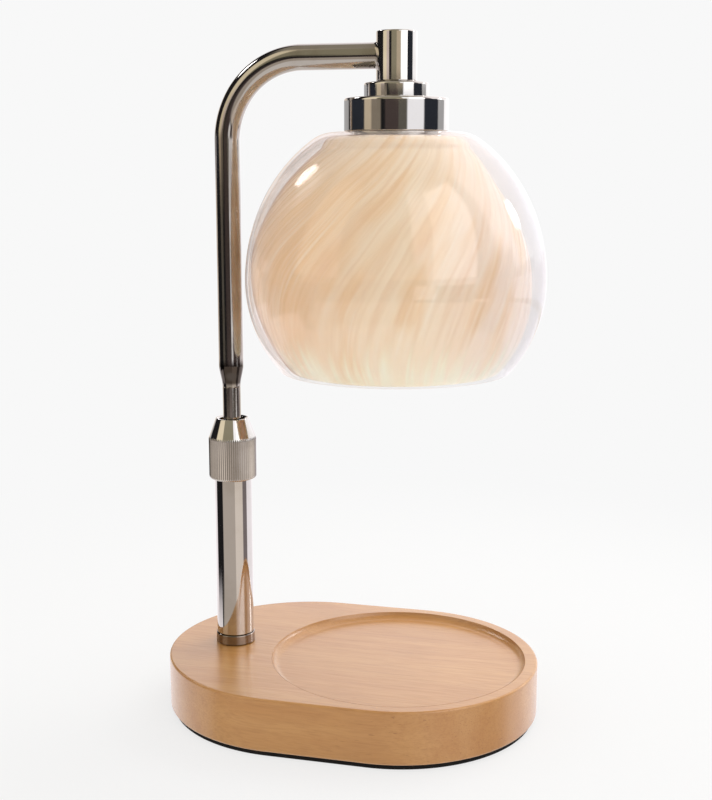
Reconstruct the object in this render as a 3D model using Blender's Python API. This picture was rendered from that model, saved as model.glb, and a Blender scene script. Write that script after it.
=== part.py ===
# Candle warmer lamp: wooden base, telescopic column with a knurled lock nut, bent arm, glass shade
import math

import bmesh
import bpy
from mathutils import Matrix, Vector

for old in list(bpy.data.objects):
    bpy.data.objects.remove(old, do_unlink=True)

mm = 0.001

# Clearances shared by every piece
seat_gap = 0.3 * mm
overrun = 2.0 * mm
weld_distance = 0.0001 * mm

# Wooden base, its pad and its cord inlet
base_length = 180.0 * mm
base_width = 134.0 * mm
wood_thickness = 25.0 * mm
wood_edge_radius = 1.0 * mm
pad_thickness = 2.2 * mm
pad_inset = 1.8 * mm
recess_margin = 6.0 * mm
recess_depth = 3.2 * mm
recess_lip = 0.4 * mm
cove_radius = 4.5 * mm
pocket_radius = 17.0 * mm
pocket_depth = 12.0 * mm
channel_width = 8.0 * mm
channel_depth = 11.4 * mm
inlet_height = 8.5 * mm
inlet_bore = 3.1 * mm
grommet_wall = 1.4 * mm
grommet_flange = 1.5 * mm
grommet_flange_depth = 1.2 * mm
grommet_sink = 0.5 * mm
grommet_length = 9.0 * mm

# Column: hollow stud, foot ring, lower tube
column_inset = 29.9 * mm
thread_radius = 5.0 * mm
thread_bore = 3.6 * mm
thread_end = 1.0 * mm
base_nut_flats = 17.0 * mm
base_nut_height = 5.0 * mm
base_washer_radius = 12.0 * mm
base_washer_height = 1.2 * mm
foot_radius = 9.5 * mm
foot_height = 4.8 * mm
foot_edge = 0.5 * mm
tube_radius = 9.0 * mm
tube_wall = 1.0 * mm
tube_length = 84.1 * mm
plug_height = 8.0 * mm

# Split collet and its knurled lock nut
shank_length = 10.0 * mm
flange_height = 2.0 * mm
collet_thread_radius = 8.2 * mm
collet_thread_length = 8.0 * mm
collet_step = 0.8 * mm
finger_length = 8.7 * mm
finger_wall = 1.3 * mm
slot_width = 1.0 * mm
slot_root = 1.5 * mm
nut_skirt = 6.0 * mm
nut_height = 29.9 * mm
barrel_height = 20.9 * mm
barrel_radius = 11.5 * mm
barrel_round = 1.5 * mm
knurl_depth = 0.35 * mm
knurl_ridges = 36
nut_rim_radius = 7.85 * mm
nut_rim_round = 0.35 * mm
nut_mouth_radius = 6.5 * mm

# Sliding rod and what guides it
rod_radius = 4.3 * mm
rod_bore = 2.2 * mm
rod_showing = 15.4 * mm
spigot_radius = 3.3 * mm
spigot_length = 6.0 * mm
travel_down = 12.0 * mm
bottom_clearance = 2.0 * mm
spigot_end = 1.0 * mm
clip_height = 0.8 * mm
clip_groove_depth = 0.4 * mm
clip_reach = 1.9 * mm
bush_height = 6.0 * mm

# Bent arm
arm_height = 309.4 * mm
shade_to_arm = 6.05 * mm
arm_radius = 5.85 * mm
arm_wall = 0.8 * mm
bend_radius = 37.0 * mm
swage_length = 10.5 * mm
arm_grip = 4.5 * mm

# Turned pieces of the head
hub_radius = 9.15 * mm
hub_height = 22.1 * mm
hub_edge = 0.8 * mm
hub_above_arm = 10.5 * mm
hub_roof = 5.0 * mm
disc_radius = 14.55 * mm
disc_height = 6.4 * mm
disc_chamfer = 1.1 * mm
cup_radius = 23.5 * mm
cup_height = 14.7 * mm
cup_wall = 1.2 * mm
cup_chamfer = 1.5 * mm
head_washer_radius = 8.5 * mm
head_washer_height = 0.6 * mm
head_nut_flats = 14.0 * mm
head_nut_height = 4.0 * mm

# Lampholder and its sleeve
sleeve_radius = 19.0 * mm
sleeve_wall = 1.2 * mm
sleeve_length = 33.3 * mm
strap_width = 14.0 * mm
strap_thickness = 1.0 * mm
strap_span = 26.0 * mm
strap_drop = 13.5 * mm
strap_foot = 7.0 * mm
holder_radius = 15.0 * mm
holder_height = 16.0 * mm
holder_edge = 0.8 * mm
pin_circle = 5.0 * mm
pin_radius = 1.25 * mm
pin_head_radius = 2.5 * mm
pin_head_height = 2.0 * mm
pin_root = 3.4 * mm
slot_lip = 3.0 * mm
slot_depth = 6.4 * mm
entry_ease = 0.25 * mm
contact_thickness = 0.8 * mm
twist_angle = math.radians(20.0)
lead_radius = 0.8 * mm
lead_hole_radius = 1.2 * mm
lead_end = 3.0 * mm
screw_offset = 9.5 * mm
screw_radius = 1.5 * mm
screw_head_radius = 2.7 * mm
screw_head_height = 1.8 * mm
screw_sink = 0.5 * mm
screw_end = 1.5 * mm

# Glass shade and what clamps it
shade_radius = 68.9 * mm
shade_height = 108.6 * mm
shade_waist_drop = 66.8 * mm
crown_margin = 6.16 * mm
skirt_fall = 65.0 * mm
shoulder_round = 5.5 * mm
casing_wall = 1.4 * mm
liner_wall = 1.8 * mm
liner_gap = 4.6 * mm
liner_shoulder_gap = 9.2 * mm
liner_draw_start = 6.0 * mm
liner_draw_length = 47.0 * mm
liner_neck_inset = 0.46 * mm
liner_foot_lift = 0.9 * mm
lean_share = 0.93
lean_rise = 65.0 * mm
lean_fall = 22.0 * mm
neck_clearance = 1.3 * mm
gasket_height = 2.0 * mm
clamp_gasket_height = 0.8 * mm
clamp_gasket_width = 7.4 * mm
ring_width = 9.0 * mm
ring_height = 5.4 * mm
ring_scallop = 0.9 * mm
ring_lobes = 10

# Halogen reflector bulb
bulb_length = 48.5 * mm
cap_radius = 12.5 * mm
cap_length = 18.0 * mm
cap_edge = 1.0 * mm
socket_depth = 12.0 * mm
neck_radius = 8.8 * mm
reflector_radius = 24.8 * mm
reflector_wall = 1.2 * mm
reflector_rim = 2.5 * mm
lens_thickness = 2.2 * mm
burner_radius = 4.5 * mm
burner_length = 20.0 * mm
stem_radius = 3.0 * mm

# Facets round a turn
fine_sides = 48
globe_sides = 40
plain_sides = 32
slim_sides = 18
hex_sides = 24
small_sides = 16

# Places in plan: everything stands on the base's long axis
end_centre = base_length / 2 - base_width / 2
recess_radius = base_width / 2 - recess_margin
column_x = column_inset - base_length / 2
arm_reach = shade_radius + shade_to_arm + arm_radius
head_x = column_x + arm_reach

# Heights of the column, from the floor up
wood_bottom = pad_thickness + seat_gap
wood_top = wood_bottom + wood_thickness
pocket_top = wood_bottom + pocket_depth
inlet_axis = wood_bottom + inlet_height
base_washer_bottom = pocket_top - seat_gap - base_washer_height
base_nut_bottom = base_washer_bottom - seat_gap - base_nut_height
foot_bottom = wood_top + seat_gap
foot_top = foot_bottom + foot_height
tube_bottom = foot_top + seat_gap
tube_top = tube_bottom + tube_length
plug_top = tube_bottom + plug_height
flange_bottom = tube_top + seat_gap
flange_top = flange_bottom + flange_height
thread_top = flange_top + collet_thread_length
finger_top = thread_top + finger_length
nut_bottom = tube_top - nut_skirt
barrel_top = nut_bottom + barrel_height
nut_top = nut_bottom + nut_height
nose_bottom = nut_top + rod_showing

# Heights of the sliding rod's lower end
rod_bottom = plug_top + travel_down + bottom_clearance
clip_bottom = rod_bottom + spigot_end
clip_top = clip_bottom + clip_height
bush_bottom = clip_top + seat_gap
bush_top = bush_bottom + bush_height
rod_shoulder = bush_top + seat_gap

# Heights of the head, from the arm down
hub_top = arm_height + hub_above_arm
hub_bottom = hub_top - hub_height
disc_top = hub_bottom - seat_gap
disc_bottom = disc_top - disc_height
cup_top = disc_bottom - seat_gap
cup_bottom = cup_top - cup_height
glass_top = cup_bottom - seat_gap
sleeve_top = cup_top - cup_wall - seat_gap
sleeve_bottom = sleeve_top - sleeve_length
strap_top = sleeve_top - sleeve_wall - seat_gap
head_washer_top = strap_top - strap_thickness - seat_gap
head_nut_top = head_washer_top - head_washer_height - seat_gap
nipple_bottom = head_nut_top - head_nut_height - thread_end
nipple_top = arm_height - arm_radius - seat_gap - seat_gap
strap_foot_bottom = strap_top - strap_drop
holder_top = strap_foot_bottom - seat_gap
holder_bottom = holder_top - holder_height
slot_top = holder_bottom + slot_depth
contact_top = slot_top - seat_gap
contact_bottom = contact_top - contact_thickness
shade_bottom = glass_top - shade_height
waist_height = glass_top - shade_waist_drop
liner_crown = glass_top - casing_wall - seat_gap
crown_inside = liner_crown - liner_wall
clamp_gasket_top = crown_inside - seat_gap
clamp_gasket_bottom = clamp_gasket_top - clamp_gasket_height
ring_top = clamp_gasket_bottom - seat_gap
ring_bottom = ring_top - ring_height

# Crown of the shade: its flat reaches past the clamp gasket, whatever the globe's radius
sleeve_clearance = sleeve_radius + seat_gap
clamp_gasket_radius = sleeve_clearance + clamp_gasket_width
crown_corner_radius = clamp_gasket_radius + crown_margin
crown_rise = shade_waist_drop / math.sqrt(1.0 - (crown_corner_radius / shade_radius) ** 2)

# Heights of the bulb
cap_top = holder_bottom - seat_gap
cap_bottom = cap_top - cap_length
socket_roof = cap_bottom + socket_depth
lens_bottom = cap_top - bulb_length
lens_top = lens_bottom + lens_thickness
reflector_bottom = lens_top + seat_gap
pin_top = contact_bottom - seat_gap


def look(name, colour, roughness, metallic=0.0, transmission=0.0):
    material = bpy.data.materials.new(name)
    material.use_nodes = True
    shader = material.node_tree.nodes["Principled BSDF"]
    shader.inputs["Base Color"].default_value = (*colour, 1.0)
    shader.inputs["Roughness"].default_value = roughness
    shader.inputs["Metallic"].default_value = metallic
    shader.inputs["Transmission Weight"].default_value = transmission
    material.diffuse_color = (*colour, 1.0)
    return material


beech = look("beech", (0.70, 0.46, 0.27), 0.45)
pad_foam = look("pad_foam", (0.02, 0.02, 0.02), 0.85)
inlet_rubber = look("inlet_rubber", (0.03, 0.03, 0.03), 0.6)
nickel = look("polished_nickel", (0.60, 0.58, 0.55), 0.08, 1.0)
dark_nickel = look("dark_nickel", (0.36, 0.34, 0.32), 0.10, 1.0)
zinc = look("zinc_steel", (0.62, 0.62, 0.60), 0.35, 1.0)
brass = look("brass", (0.72, 0.55, 0.25), 0.25, 1.0)
nylon = look("nylon", (0.80, 0.79, 0.74), 0.5)
porcelain = look("porcelain", (0.88, 0.87, 0.83), 0.25)
silicone = look("silicone", (0.82, 0.80, 0.76), 0.6)
art_glass = look("art_glass", (0.86, 0.72, 0.58), 0.05, 0.0, 0.3)
clear_glass = look("clear_glass", (0.92, 0.93, 0.93), 0.03, 0.0, 0.9)
lamp_glass = look("lamp_glass", (0.92, 0.93, 0.93), 0.03, 0.0, 0.9)
mirror_coat = look("mirror_coat", (0.80, 0.80, 0.82), 0.1, 0.8)


def make_object(name, shell, material, place, carrier=None, sharp_angle=math.radians(32.0)):
    """Object from a bmesh at a world place, hung from its carrier, its round faces shaded smooth."""
    bmesh.ops.recalc_face_normals(shell, faces=shell.faces)
    mesh = bpy.data.meshes.new(name)
    shell.to_mesh(mesh)
    shell.free()
    mesh.shade_smooth()
    mesh.set_sharp_from_angle(angle=sharp_angle)
    mesh.materials.append(material)
    thing = bpy.data.objects.new(name, mesh)
    bpy.context.scene.collection.objects.link(thing)
    thing.location = place
    if carrier:
        thing.parent = carrier
        thing.location = Vector(place) - carrier.location
    return thing


def bridge_rings(shell, rings, closed):
    """Faces between each ring of points and the next; a closed stack joins its last ring to its first."""
    followers = rings[1:] + rings[:1] if closed else rings[1:]
    for ring, other in zip(rings, followers):
        ring_after = ring[1:] + ring[:1]
        other_after = other[1:] + other[:1]
        for corners in zip(ring, ring_after, other_after, other):
            shell.faces.new(corners)


def turned(name, outline, material, axis_x, sides=plain_sides, carrier=None, shape=None, lean=None):
    """Solid turned about the upright line at axis_x from a closed outline of (radius, height) points.

    shape(angle, radius, index) may change the radius round the turn, for flats, lobes and knurls;
    lean(height) moves each ring towards the column."""
    shell = bmesh.new()
    rings = []
    for index, (radius, height) in enumerate(outline):
        ring = []
        shift = lean(height) if lean else 0.0
        for step in range(sides):
            angle = math.tau * step / sides
            reach = shape(angle, radius, index) if shape else radius
            ring.append(shell.verts.new((reach * math.cos(angle) - shift, reach * math.sin(angle), height)))
        rings.append(ring)
    bridge_rings(shell, rings, closed=outline[0][0] > 0 or outline[-1][0] > 0)
    bmesh.ops.remove_doubles(shell, verts=shell.verts, dist=weld_distance)
    bmesh.ops.dissolve_degenerate(shell, edges=shell.edges, dist=weld_distance)
    return make_object(name, shell, material, (axis_x, 0.0, 0.0), carrier)


def washer(name, inner, outer, bottom, top, material, axis_x, sides=small_sides, carrier=None):
    outline = [(inner, bottom), (outer, bottom), (outer, top), (inner, top)]
    return turned(name, outline, material, axis_x, sides, carrier)


def hexagon(across_flats, outline_count):
    """Radius rule of a hexagon on a nut's outer points, with its corners turned off at the ends."""
    def reach(angle, radius, index):
        if index in (0, outline_count - 1):
            return radius
        folded = (angle + math.pi / 6) % (math.pi / 3) - math.pi / 6
        return min(across_flats / 2 / math.cos(folded), radius)
    return reach


def hex_nut(name, across_flats, bottom, top, material, axis_x, carrier=None):
    corner = across_flats / 2 / math.cos(math.pi / 6)
    turned_off = across_flats / 2 + (corner - across_flats / 2) / 3
    edge = corner - turned_off
    bore = thread_radius + seat_gap
    outline = [
        (bore, bottom), (turned_off, bottom), (corner, bottom + edge),
        (corner, top - edge), (turned_off, top), (bore, top),
    ]
    return turned(name, outline, material, axis_x, hex_sides, carrier, hexagon(across_flats, len(outline)))


def prism(name, outline, bottom, top, material, place, carrier=None):
    """Upright solid between two heights over a closed outline of (x, y) points."""
    shell = bmesh.new()
    floor = [shell.verts.new((x, y, bottom)) for x, y in outline]
    roof = [shell.verts.new((x, y, top)) for x, y in outline]
    shell.faces.new(floor)
    shell.faces.new(roof)
    bridge_rings(shell, [floor, roof], closed=False)
    return make_object(name, shell, material, place, carrier)


def swept(name, stations, material, place, sides, carrier=None):
    """Pipe through stations of (frame, outer radius, inner radius); each frame's Z runs along the pipe."""
    shell = bmesh.new()
    skins = []
    for skin in (0, 1):
        rings = []
        for frame, *radii in stations:
            ring = []
            for step in range(sides):
                angle = math.tau * step / sides
                point = Vector((radii[skin] * math.cos(angle), radii[skin] * math.sin(angle), 0.0))
                ring.append(shell.verts.new(frame @ point))
            rings.append(ring)
        skins.append(rings)
    outside, inside = skins
    bridge_rings(shell, outside, closed=False)
    bridge_rings(shell, inside, closed=False)
    bridge_rings(shell, [outside[0], inside[0]], closed=False)
    bridge_rings(shell, [outside[-1], inside[-1]], closed=False)
    return make_object(name, shell, material, place, carrier)


def cut(body, cutter, solver="EXACT"):
    """Live Boolean difference; the cutter stays in the file as a hidden guide."""
    cutter.hide_render = True
    cutter.display_type = "WIRE"
    boolean = body.modifiers.new("cut_" + cutter.name, "BOOLEAN")
    boolean.operation = "DIFFERENCE"
    boolean.solver = solver
    boolean.object = cutter


def peg_cutter(name, radius, bottom, top, place, sides=small_sides):
    """Upright round cutter whose axis runs through place."""
    outline = [(0.0, bottom), (radius, bottom), (radius, top), (0.0, top)]
    cutter = turned(name, outline, zinc, 0.0, sides)
    cutter.location = place
    return cutter


def box_cutter(name, low, high):
    """Square cutter between two corners."""
    outline = [(low[0], low[1]), (high[0], low[1]), (high[0], high[1]), (low[0], high[1])]
    return prism(name, outline, low[2], high[2], zinc, (0.0, 0.0, 0.0))


def stadium(length, width, sides):
    """Outline with two straight sides and two half-round ends."""
    radius = width / 2
    centre = length / 2 - radius
    outline = []
    for side, start in ((1, -math.pi / 2), (-1, math.pi / 2)):
        for step in range(sides + 1):
            angle = start + math.pi * step / sides
            outline.append((side * centre + radius * math.cos(angle), radius * math.sin(angle)))
    return outline


def arc_points(centre, radii, start, end, steps):
    """Points along part of an ellipse in (radius, height)."""
    points = []
    for step in range(steps + 1):
        angle = start + (end - start) * step / steps
        points.append((centre[0] + radii[0] * math.cos(angle), centre[1] + radii[1] * math.sin(angle)))
    return points


def soft_corner(start, corner, end, steps):
    """Points of a quadratic curve that leaves start, is drawn to the corner and reaches end."""
    points = []
    for step in range(1, steps):
        t = step / steps
        points.append(tuple(
            (1 - t) ** 2 * a + 2 * t * (1 - t) * b + t ** 2 * c for a, b, c in zip(start, corner, end)
        ))
    return points


def arc_slot(radius, half_width, start, end, steps):
    """Outline of a slot with round ends that follows a circle about the head's axis."""
    outline = []
    for reach, first, last in ((radius + half_width, start, end), (radius - half_width, end, start)):
        for step in range(steps + 1):
            angle = first + (last - first) * step / steps
            outline.append((reach * math.cos(angle), reach * math.sin(angle)))
        turn_start = last if reach > radius else last + math.pi
        centre = Vector((radius * math.cos(last), radius * math.sin(last)))
        for step in range(1, 2 * steps):
            turn = turn_start + math.pi * step / (2 * steps)
            outline.append(tuple(centre + half_width * Vector((math.cos(turn), math.sin(turn)))))
    return outline


# Joint axes: empties that the moving pieces hang from
def pivot(name, x, z):
    empty = bpy.data.objects.new(name, None)
    empty.empty_display_size = hub_radius
    empty.location = (x, 0.0, z)
    bpy.context.scene.collection.objects.link(empty)
    return empty


nut_pivot = pivot("nut_pivot", column_x, tube_top)
slide_pivot = pivot("slide_pivot", column_x, bush_bottom)
arm_pivot = pivot("arm_pivot", column_x, nose_bottom)
bulb_pivot = pivot("bulb_pivot", head_x, cap_top)


# Wooden base: stadium slab, coved recess for the candle jar, wiring pocket and channel underneath
slab_outline = stadium(base_length, base_width, fine_sides // 2)
wood_base = prism("wood_base", slab_outline, wood_bottom, wood_top, beech, (0.0, 0.0, 0.0))
softened = wood_base.modifiers.new("softened_edges", "BEVEL")
softened.width = wood_edge_radius
softened.segments = 2
softened.limit_method = "ANGLE"
softened.angle_limit = math.radians(60.0)

recess_floor = wood_top - recess_depth
cove_end = math.asin(min(recess_depth / cove_radius - 1.0, 0.0))
cove_centre = (recess_radius - cove_radius * math.cos(cove_end), recess_floor + cove_radius)
recess_outline = [(0.0, recess_floor)]
recess_outline += arc_points(cove_centre, (cove_radius, cove_radius), -math.pi / 2, cove_end, 3)[:-1]
recess_outline += [(recess_radius, wood_top - recess_lip), (recess_radius + recess_lip, wood_top)]
recess_outline += [(recess_radius + recess_lip, wood_top + overrun), (0.0, wood_top + overrun)]
recess_cutter = turned("recess_cutter", recess_outline, beech, end_centre, fine_sides)
cut(wood_base, recess_cutter, "MANIFOLD")

column_place = (column_x, 0.0, 0.0)
stud_clearance = thread_radius + seat_gap
stud_hole = peg_cutter("stud_hole", stud_clearance, pocket_top - overrun, wood_top + overrun, column_place)
cut(wood_base, stud_hole, "MANIFOLD")
pocket = peg_cutter("pocket", pocket_radius, wood_bottom - overrun, pocket_top, column_place, plain_sides)
cut(wood_base, pocket, "MANIFOLD")

grommet_radius = inlet_bore + grommet_wall
grommet_face = grommet_sink - base_length / 2
grommet_inner_end = grommet_face + grommet_length
channel_top = wood_bottom + channel_depth
channel_start = grommet_inner_end - overrun
channel_low = (channel_start, -channel_width / 2, wood_bottom - overrun)
channel_high = (column_x, channel_width / 2, channel_top)
cut(wood_base, box_cutter("channel", channel_low, channel_high), "MANIFOLD")

inlet_place = (grommet_face, 0.0, inlet_axis)
sideways = (0.0, math.pi / 2, 0.0)
inlet_outline = [
    (0.0, -grommet_sink - overrun),
    (grommet_radius + grommet_flange + seat_gap, -grommet_sink - overrun),
    (grommet_radius + grommet_flange + seat_gap, grommet_flange_depth + seat_gap),
    (grommet_radius + seat_gap, grommet_flange_depth + seat_gap),
    (grommet_radius + seat_gap, grommet_length + seat_gap),
    (0.0, grommet_length + seat_gap),
]
inlet_cutter = turned("inlet_hole", inlet_outline, beech, 0.0, small_sides)
inlet_cutter.location = inlet_place
inlet_cutter.rotation_euler = sideways
cut(wood_base, inlet_cutter, "MANIFOLD")

# Rubber grommet of the cord inlet, flush in the end of the wood
grommet_outline = [
    (inlet_bore, 0.0),
    (grommet_radius + grommet_flange, 0.0),
    (grommet_radius + grommet_flange, grommet_flange_depth),
    (grommet_radius, grommet_flange_depth),
    (grommet_radius, grommet_length),
    (inlet_bore, grommet_length),
]
cord_grommet = turned("cord_grommet", grommet_outline, inlet_rubber, 0.0, small_sides)
cord_grommet.location = inlet_place
cord_grommet.rotation_euler = sideways

# Foam pad glued under the wood
pad_outline = stadium(base_length - 2 * pad_inset, base_width - 2 * pad_inset, small_sides)
base_pad = prism("base_pad", pad_outline, 0.0, pad_thickness, pad_foam, (0.0, 0.0, 0.0))

# Hollow stud, washer and nut that clamp the column to the wood
stud_bottom = base_nut_bottom - thread_end
stud_top = plug_top - seat_gap
washer("column_stud", thread_bore, thread_radius, stud_bottom, stud_top, zinc, column_x)
washer(
    "base_washer", stud_clearance, base_washer_radius, base_washer_bottom, pocket_top - seat_gap,
    zinc, column_x,
)
hex_nut("base_nut", base_nut_flats, base_nut_bottom, base_washer_bottom - seat_gap, zinc, column_x)

# Foot ring, lower tube and the threaded plug in its foot
foot_outline = [
    (stud_clearance, foot_bottom), (foot_radius, foot_bottom), (foot_radius, foot_top - foot_edge),
    (foot_radius - foot_edge, foot_top), (stud_clearance, foot_top),
]
turned("foot_ring", foot_outline, nickel, column_x)
tube_bore = tube_radius - tube_wall
washer("lower_tube", tube_bore, tube_radius, tube_bottom, tube_top, nickel, column_x, plain_sides)
washer("tube_plug", stud_clearance, tube_bore - seat_gap, tube_bottom, plug_top, brass, column_x)

# Split collet: shank in the tube, flange on its end, thread, and four tapered fingers round the rod
collet_bore = rod_radius + seat_gap
finger_root_radius = collet_thread_radius - collet_step
finger_tip_radius = collet_bore + finger_wall
collet_outline = [
    (collet_bore, tube_top - shank_length),
    (tube_bore - seat_gap, tube_top - shank_length),
    (tube_bore - seat_gap, flange_bottom),
    (tube_radius, flange_bottom),
    (tube_radius, flange_top),
    (collet_thread_radius, flange_top),
    (collet_thread_radius, thread_top),
    (finger_root_radius, thread_top),
    (finger_tip_radius, finger_top),
    (collet_bore, finger_top),
]
collet = turned("collet", collet_outline, brass, column_x, small_sides)
slot_bottom = flange_top + slot_root
slot_reach = collet_thread_radius + overrun
slot_places = ((slot_reach, slot_width / 2), (slot_width / 2, slot_reach))
for index, (half_x, half_y) in enumerate(slot_places):
    slot_low = (column_x - half_x, -half_y, slot_bottom)
    slot_high = (column_x + half_x, half_y, finger_top + overrun)
    cut(collet, box_cutter("collet_slot_" + str(index + 1), slot_low, slot_high))

# Knurled lock nut: straight-knurled barrel and polished cone, bored for the cone that closes the collet
knurl_inner = barrel_radius - knurl_depth
lock_outline = [
    (0.0, nut_bottom),
    (barrel_radius - barrel_round, nut_bottom),
    (knurl_inner, nut_bottom + barrel_round / 2),
    (barrel_radius, nut_bottom + barrel_round),
    (barrel_radius, barrel_top - knurl_depth),
    (knurl_inner, barrel_top),
    (nut_rim_radius, nut_top - nut_rim_round),
    (nut_rim_radius - nut_rim_round, nut_top),
    (0.0, nut_top),
]


def knurl(angle, radius, index):
    """Every second point of the barrel drops to the foot of the groove beside it."""
    step = round(angle / math.tau * 2 * knurl_ridges)
    return knurl_inner if radius == barrel_radius and step % 2 else radius


lock_nut = turned("lock_nut", lock_outline, nickel, column_x, 2 * knurl_ridges, nut_pivot, knurl)
lock_bore_outline = [
    (0.0, nut_bottom - overrun),
    (tube_radius + seat_gap, nut_bottom - overrun),
    (tube_radius + seat_gap, flange_top + seat_gap),
    (collet_thread_radius + seat_gap, flange_top + seat_gap),
    (collet_thread_radius + seat_gap, thread_top + seat_gap),
    (finger_root_radius + seat_gap, thread_top + seat_gap),
    (finger_tip_radius + seat_gap, finger_top + seat_gap),
    (nut_mouth_radius, finger_top + seat_gap),
    (nut_mouth_radius, nut_top + overrun),
    (0.0, nut_top + overrun),
]
cut(lock_nut, turned("lock_bore", lock_bore_outline, brass, column_x, hex_sides))

# Sliding rod: hollow, with a spigot for the arm above and one for the guide bush below
groove_radius = spigot_radius - clip_groove_depth
rod_outline = [
    (rod_bore, rod_bottom),
    (spigot_radius, rod_bottom),
    (spigot_radius, clip_bottom - seat_gap),
    (groove_radius, clip_bottom - seat_gap),
    (groove_radius, clip_top + seat_gap),
    (spigot_radius, clip_top + seat_gap),
    (spigot_radius, rod_shoulder),
    (rod_radius, rod_shoulder),
    (rod_radius, nose_bottom - seat_gap),
    (spigot_radius, nose_bottom - seat_gap),
    (spigot_radius, nose_bottom + spigot_length),
    (rod_bore, nose_bottom + spigot_length),
]
turned("slide_rod", rod_outline, dark_nickel, column_x, slim_sides, arm_pivot)

# Nylon guide bush and the open clip that keeps it on the rod
guide_radius = tube_bore - seat_gap
washer(
    "guide_bush", spigot_radius + seat_gap, guide_radius, bush_bottom, bush_top,
    nylon, column_x, small_sides, slide_pivot,
)
clip_inner = groove_radius + seat_gap
clip_outer = clip_inner + clip_reach
rod_clip = washer(
    "rod_clip", clip_inner, clip_outer, clip_bottom, clip_top,
    zinc, column_x, small_sides, arm_pivot,
)
clip_mouth_low = (column_x, -groove_radius, clip_bottom - seat_gap)
clip_mouth_high = (column_x + clip_outer + overrun, groove_radius, clip_top + seat_gap)
cut(rod_clip, box_cutter("clip_mouth", clip_mouth_low, clip_mouth_high))

# Bent arm: swaged nose on the rod, upright run, quarter bend, level run into the hub
arm_bore = arm_radius - arm_wall
nose_radius = rod_radius
nose_bore = spigot_radius + seat_gap
arm_stations = []
swage_steps = 4
for step in range(swage_steps + 1):
    t = step / swage_steps
    ease = t * t * (3 - 2 * t)
    frame = Matrix.Translation((0.0, 0.0, nose_bottom + swage_length * t))
    outer = nose_radius + (arm_radius - nose_radius) * ease
    inner = nose_bore + (arm_bore - nose_bore) * ease
    arm_stations.append((frame, outer, inner))
bend_steps = 11
bend_centre = Vector((bend_radius, 0.0, arm_height - bend_radius))
for step in range(bend_steps + 1):
    angle = math.pi / 2 * step / bend_steps
    turn = Matrix.Rotation(angle, 4, "Y")
    frame = Matrix.Translation(bend_centre) @ turn @ Matrix.Translation((-bend_radius, 0.0, 0.0))
    arm_stations.append((frame, arm_radius, arm_bore))
arm_end = arm_reach - hub_radius + arm_grip
level = Matrix.Translation((arm_end, 0.0, arm_height)) @ Matrix.Rotation(math.pi / 2, 4, "Y")
arm_stations.append((level, arm_radius, arm_bore))
swept("arm_tube", arm_stations, dark_nickel, column_place, slim_sides, arm_pivot)

# Hub at the end of the arm: cross bore for the arm, threaded bore for the nipple
hub_outline = [
    (0.0, hub_bottom), (hub_radius - hub_edge, hub_bottom), (hub_radius, hub_bottom + hub_edge),
    (hub_radius, hub_top - hub_edge), (hub_radius - hub_edge, hub_top), (0.0, hub_top),
]
head_hub = turned("head_hub", hub_outline, nickel, head_x, plain_sides, arm_pivot)
head_place = (head_x, 0.0, 0.0)
cut(head_hub, peg_cutter("hub_bore", stud_clearance, hub_bottom - overrun, hub_top - hub_roof, head_place))
arm_place = (head_x, 0.0, arm_height)
arm_bore_cutter = peg_cutter("hub_cross_bore", arm_radius + seat_gap, 0.0, hub_radius + overrun, arm_place)
arm_bore_cutter.rotation_euler = (0.0, -math.pi / 2, 0.0)
cut(head_hub, arm_bore_cutter)

# Spacer disc and the spun cup that covers the neck of the shade
disc_outline = [
    (stud_clearance, disc_bottom), (disc_radius, disc_bottom), (disc_radius, disc_top - disc_chamfer),
    (disc_radius - disc_chamfer, disc_top), (stud_clearance, disc_top),
]
turned("spacer_disc", disc_outline, nickel, head_x, plain_sides, arm_pivot)
cup_bore = cup_radius - cup_wall
cup_outline = [
    (cup_bore, cup_bottom), (cup_radius, cup_bottom), (cup_radius, cup_top - cup_chamfer),
    (cup_radius - cup_chamfer, cup_top), (stud_clearance, cup_top),
    (stud_clearance, cup_top - cup_wall), (cup_bore - cup_chamfer, cup_top - cup_wall),
    (cup_bore, cup_top - cup_wall - cup_chamfer),
]
turned("shade_cup", cup_outline, nickel, head_x, plain_sides, arm_pivot)

# Hollow nipple with its washer and nut: they clamp hub, disc, cup, sleeve and strap together
washer(
    "head_nipple", thread_bore, thread_radius, nipple_bottom, nipple_top,
    zinc, head_x, small_sides, arm_pivot,
)
washer(
    "head_washer", stud_clearance, head_washer_radius, head_washer_top - head_washer_height, head_washer_top,
    zinc, head_x, small_sides, arm_pivot,
)
hex_nut("head_nut", head_nut_flats, head_nut_top - head_nut_height, head_nut_top, zinc, head_x, arm_pivot)

# Threaded sleeve round the lampholder, which carries the clamp ring
sleeve_bore = sleeve_radius - sleeve_wall
sleeve_outline = [
    (sleeve_bore, sleeve_bottom), (sleeve_radius, sleeve_bottom), (sleeve_radius, sleeve_top),
    (stud_clearance, sleeve_top), (stud_clearance, sleeve_top - sleeve_wall),
    (sleeve_bore, sleeve_top - sleeve_wall),
]
turned("holder_sleeve", sleeve_outline, zinc, head_x, hex_sides, arm_pivot)

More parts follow.
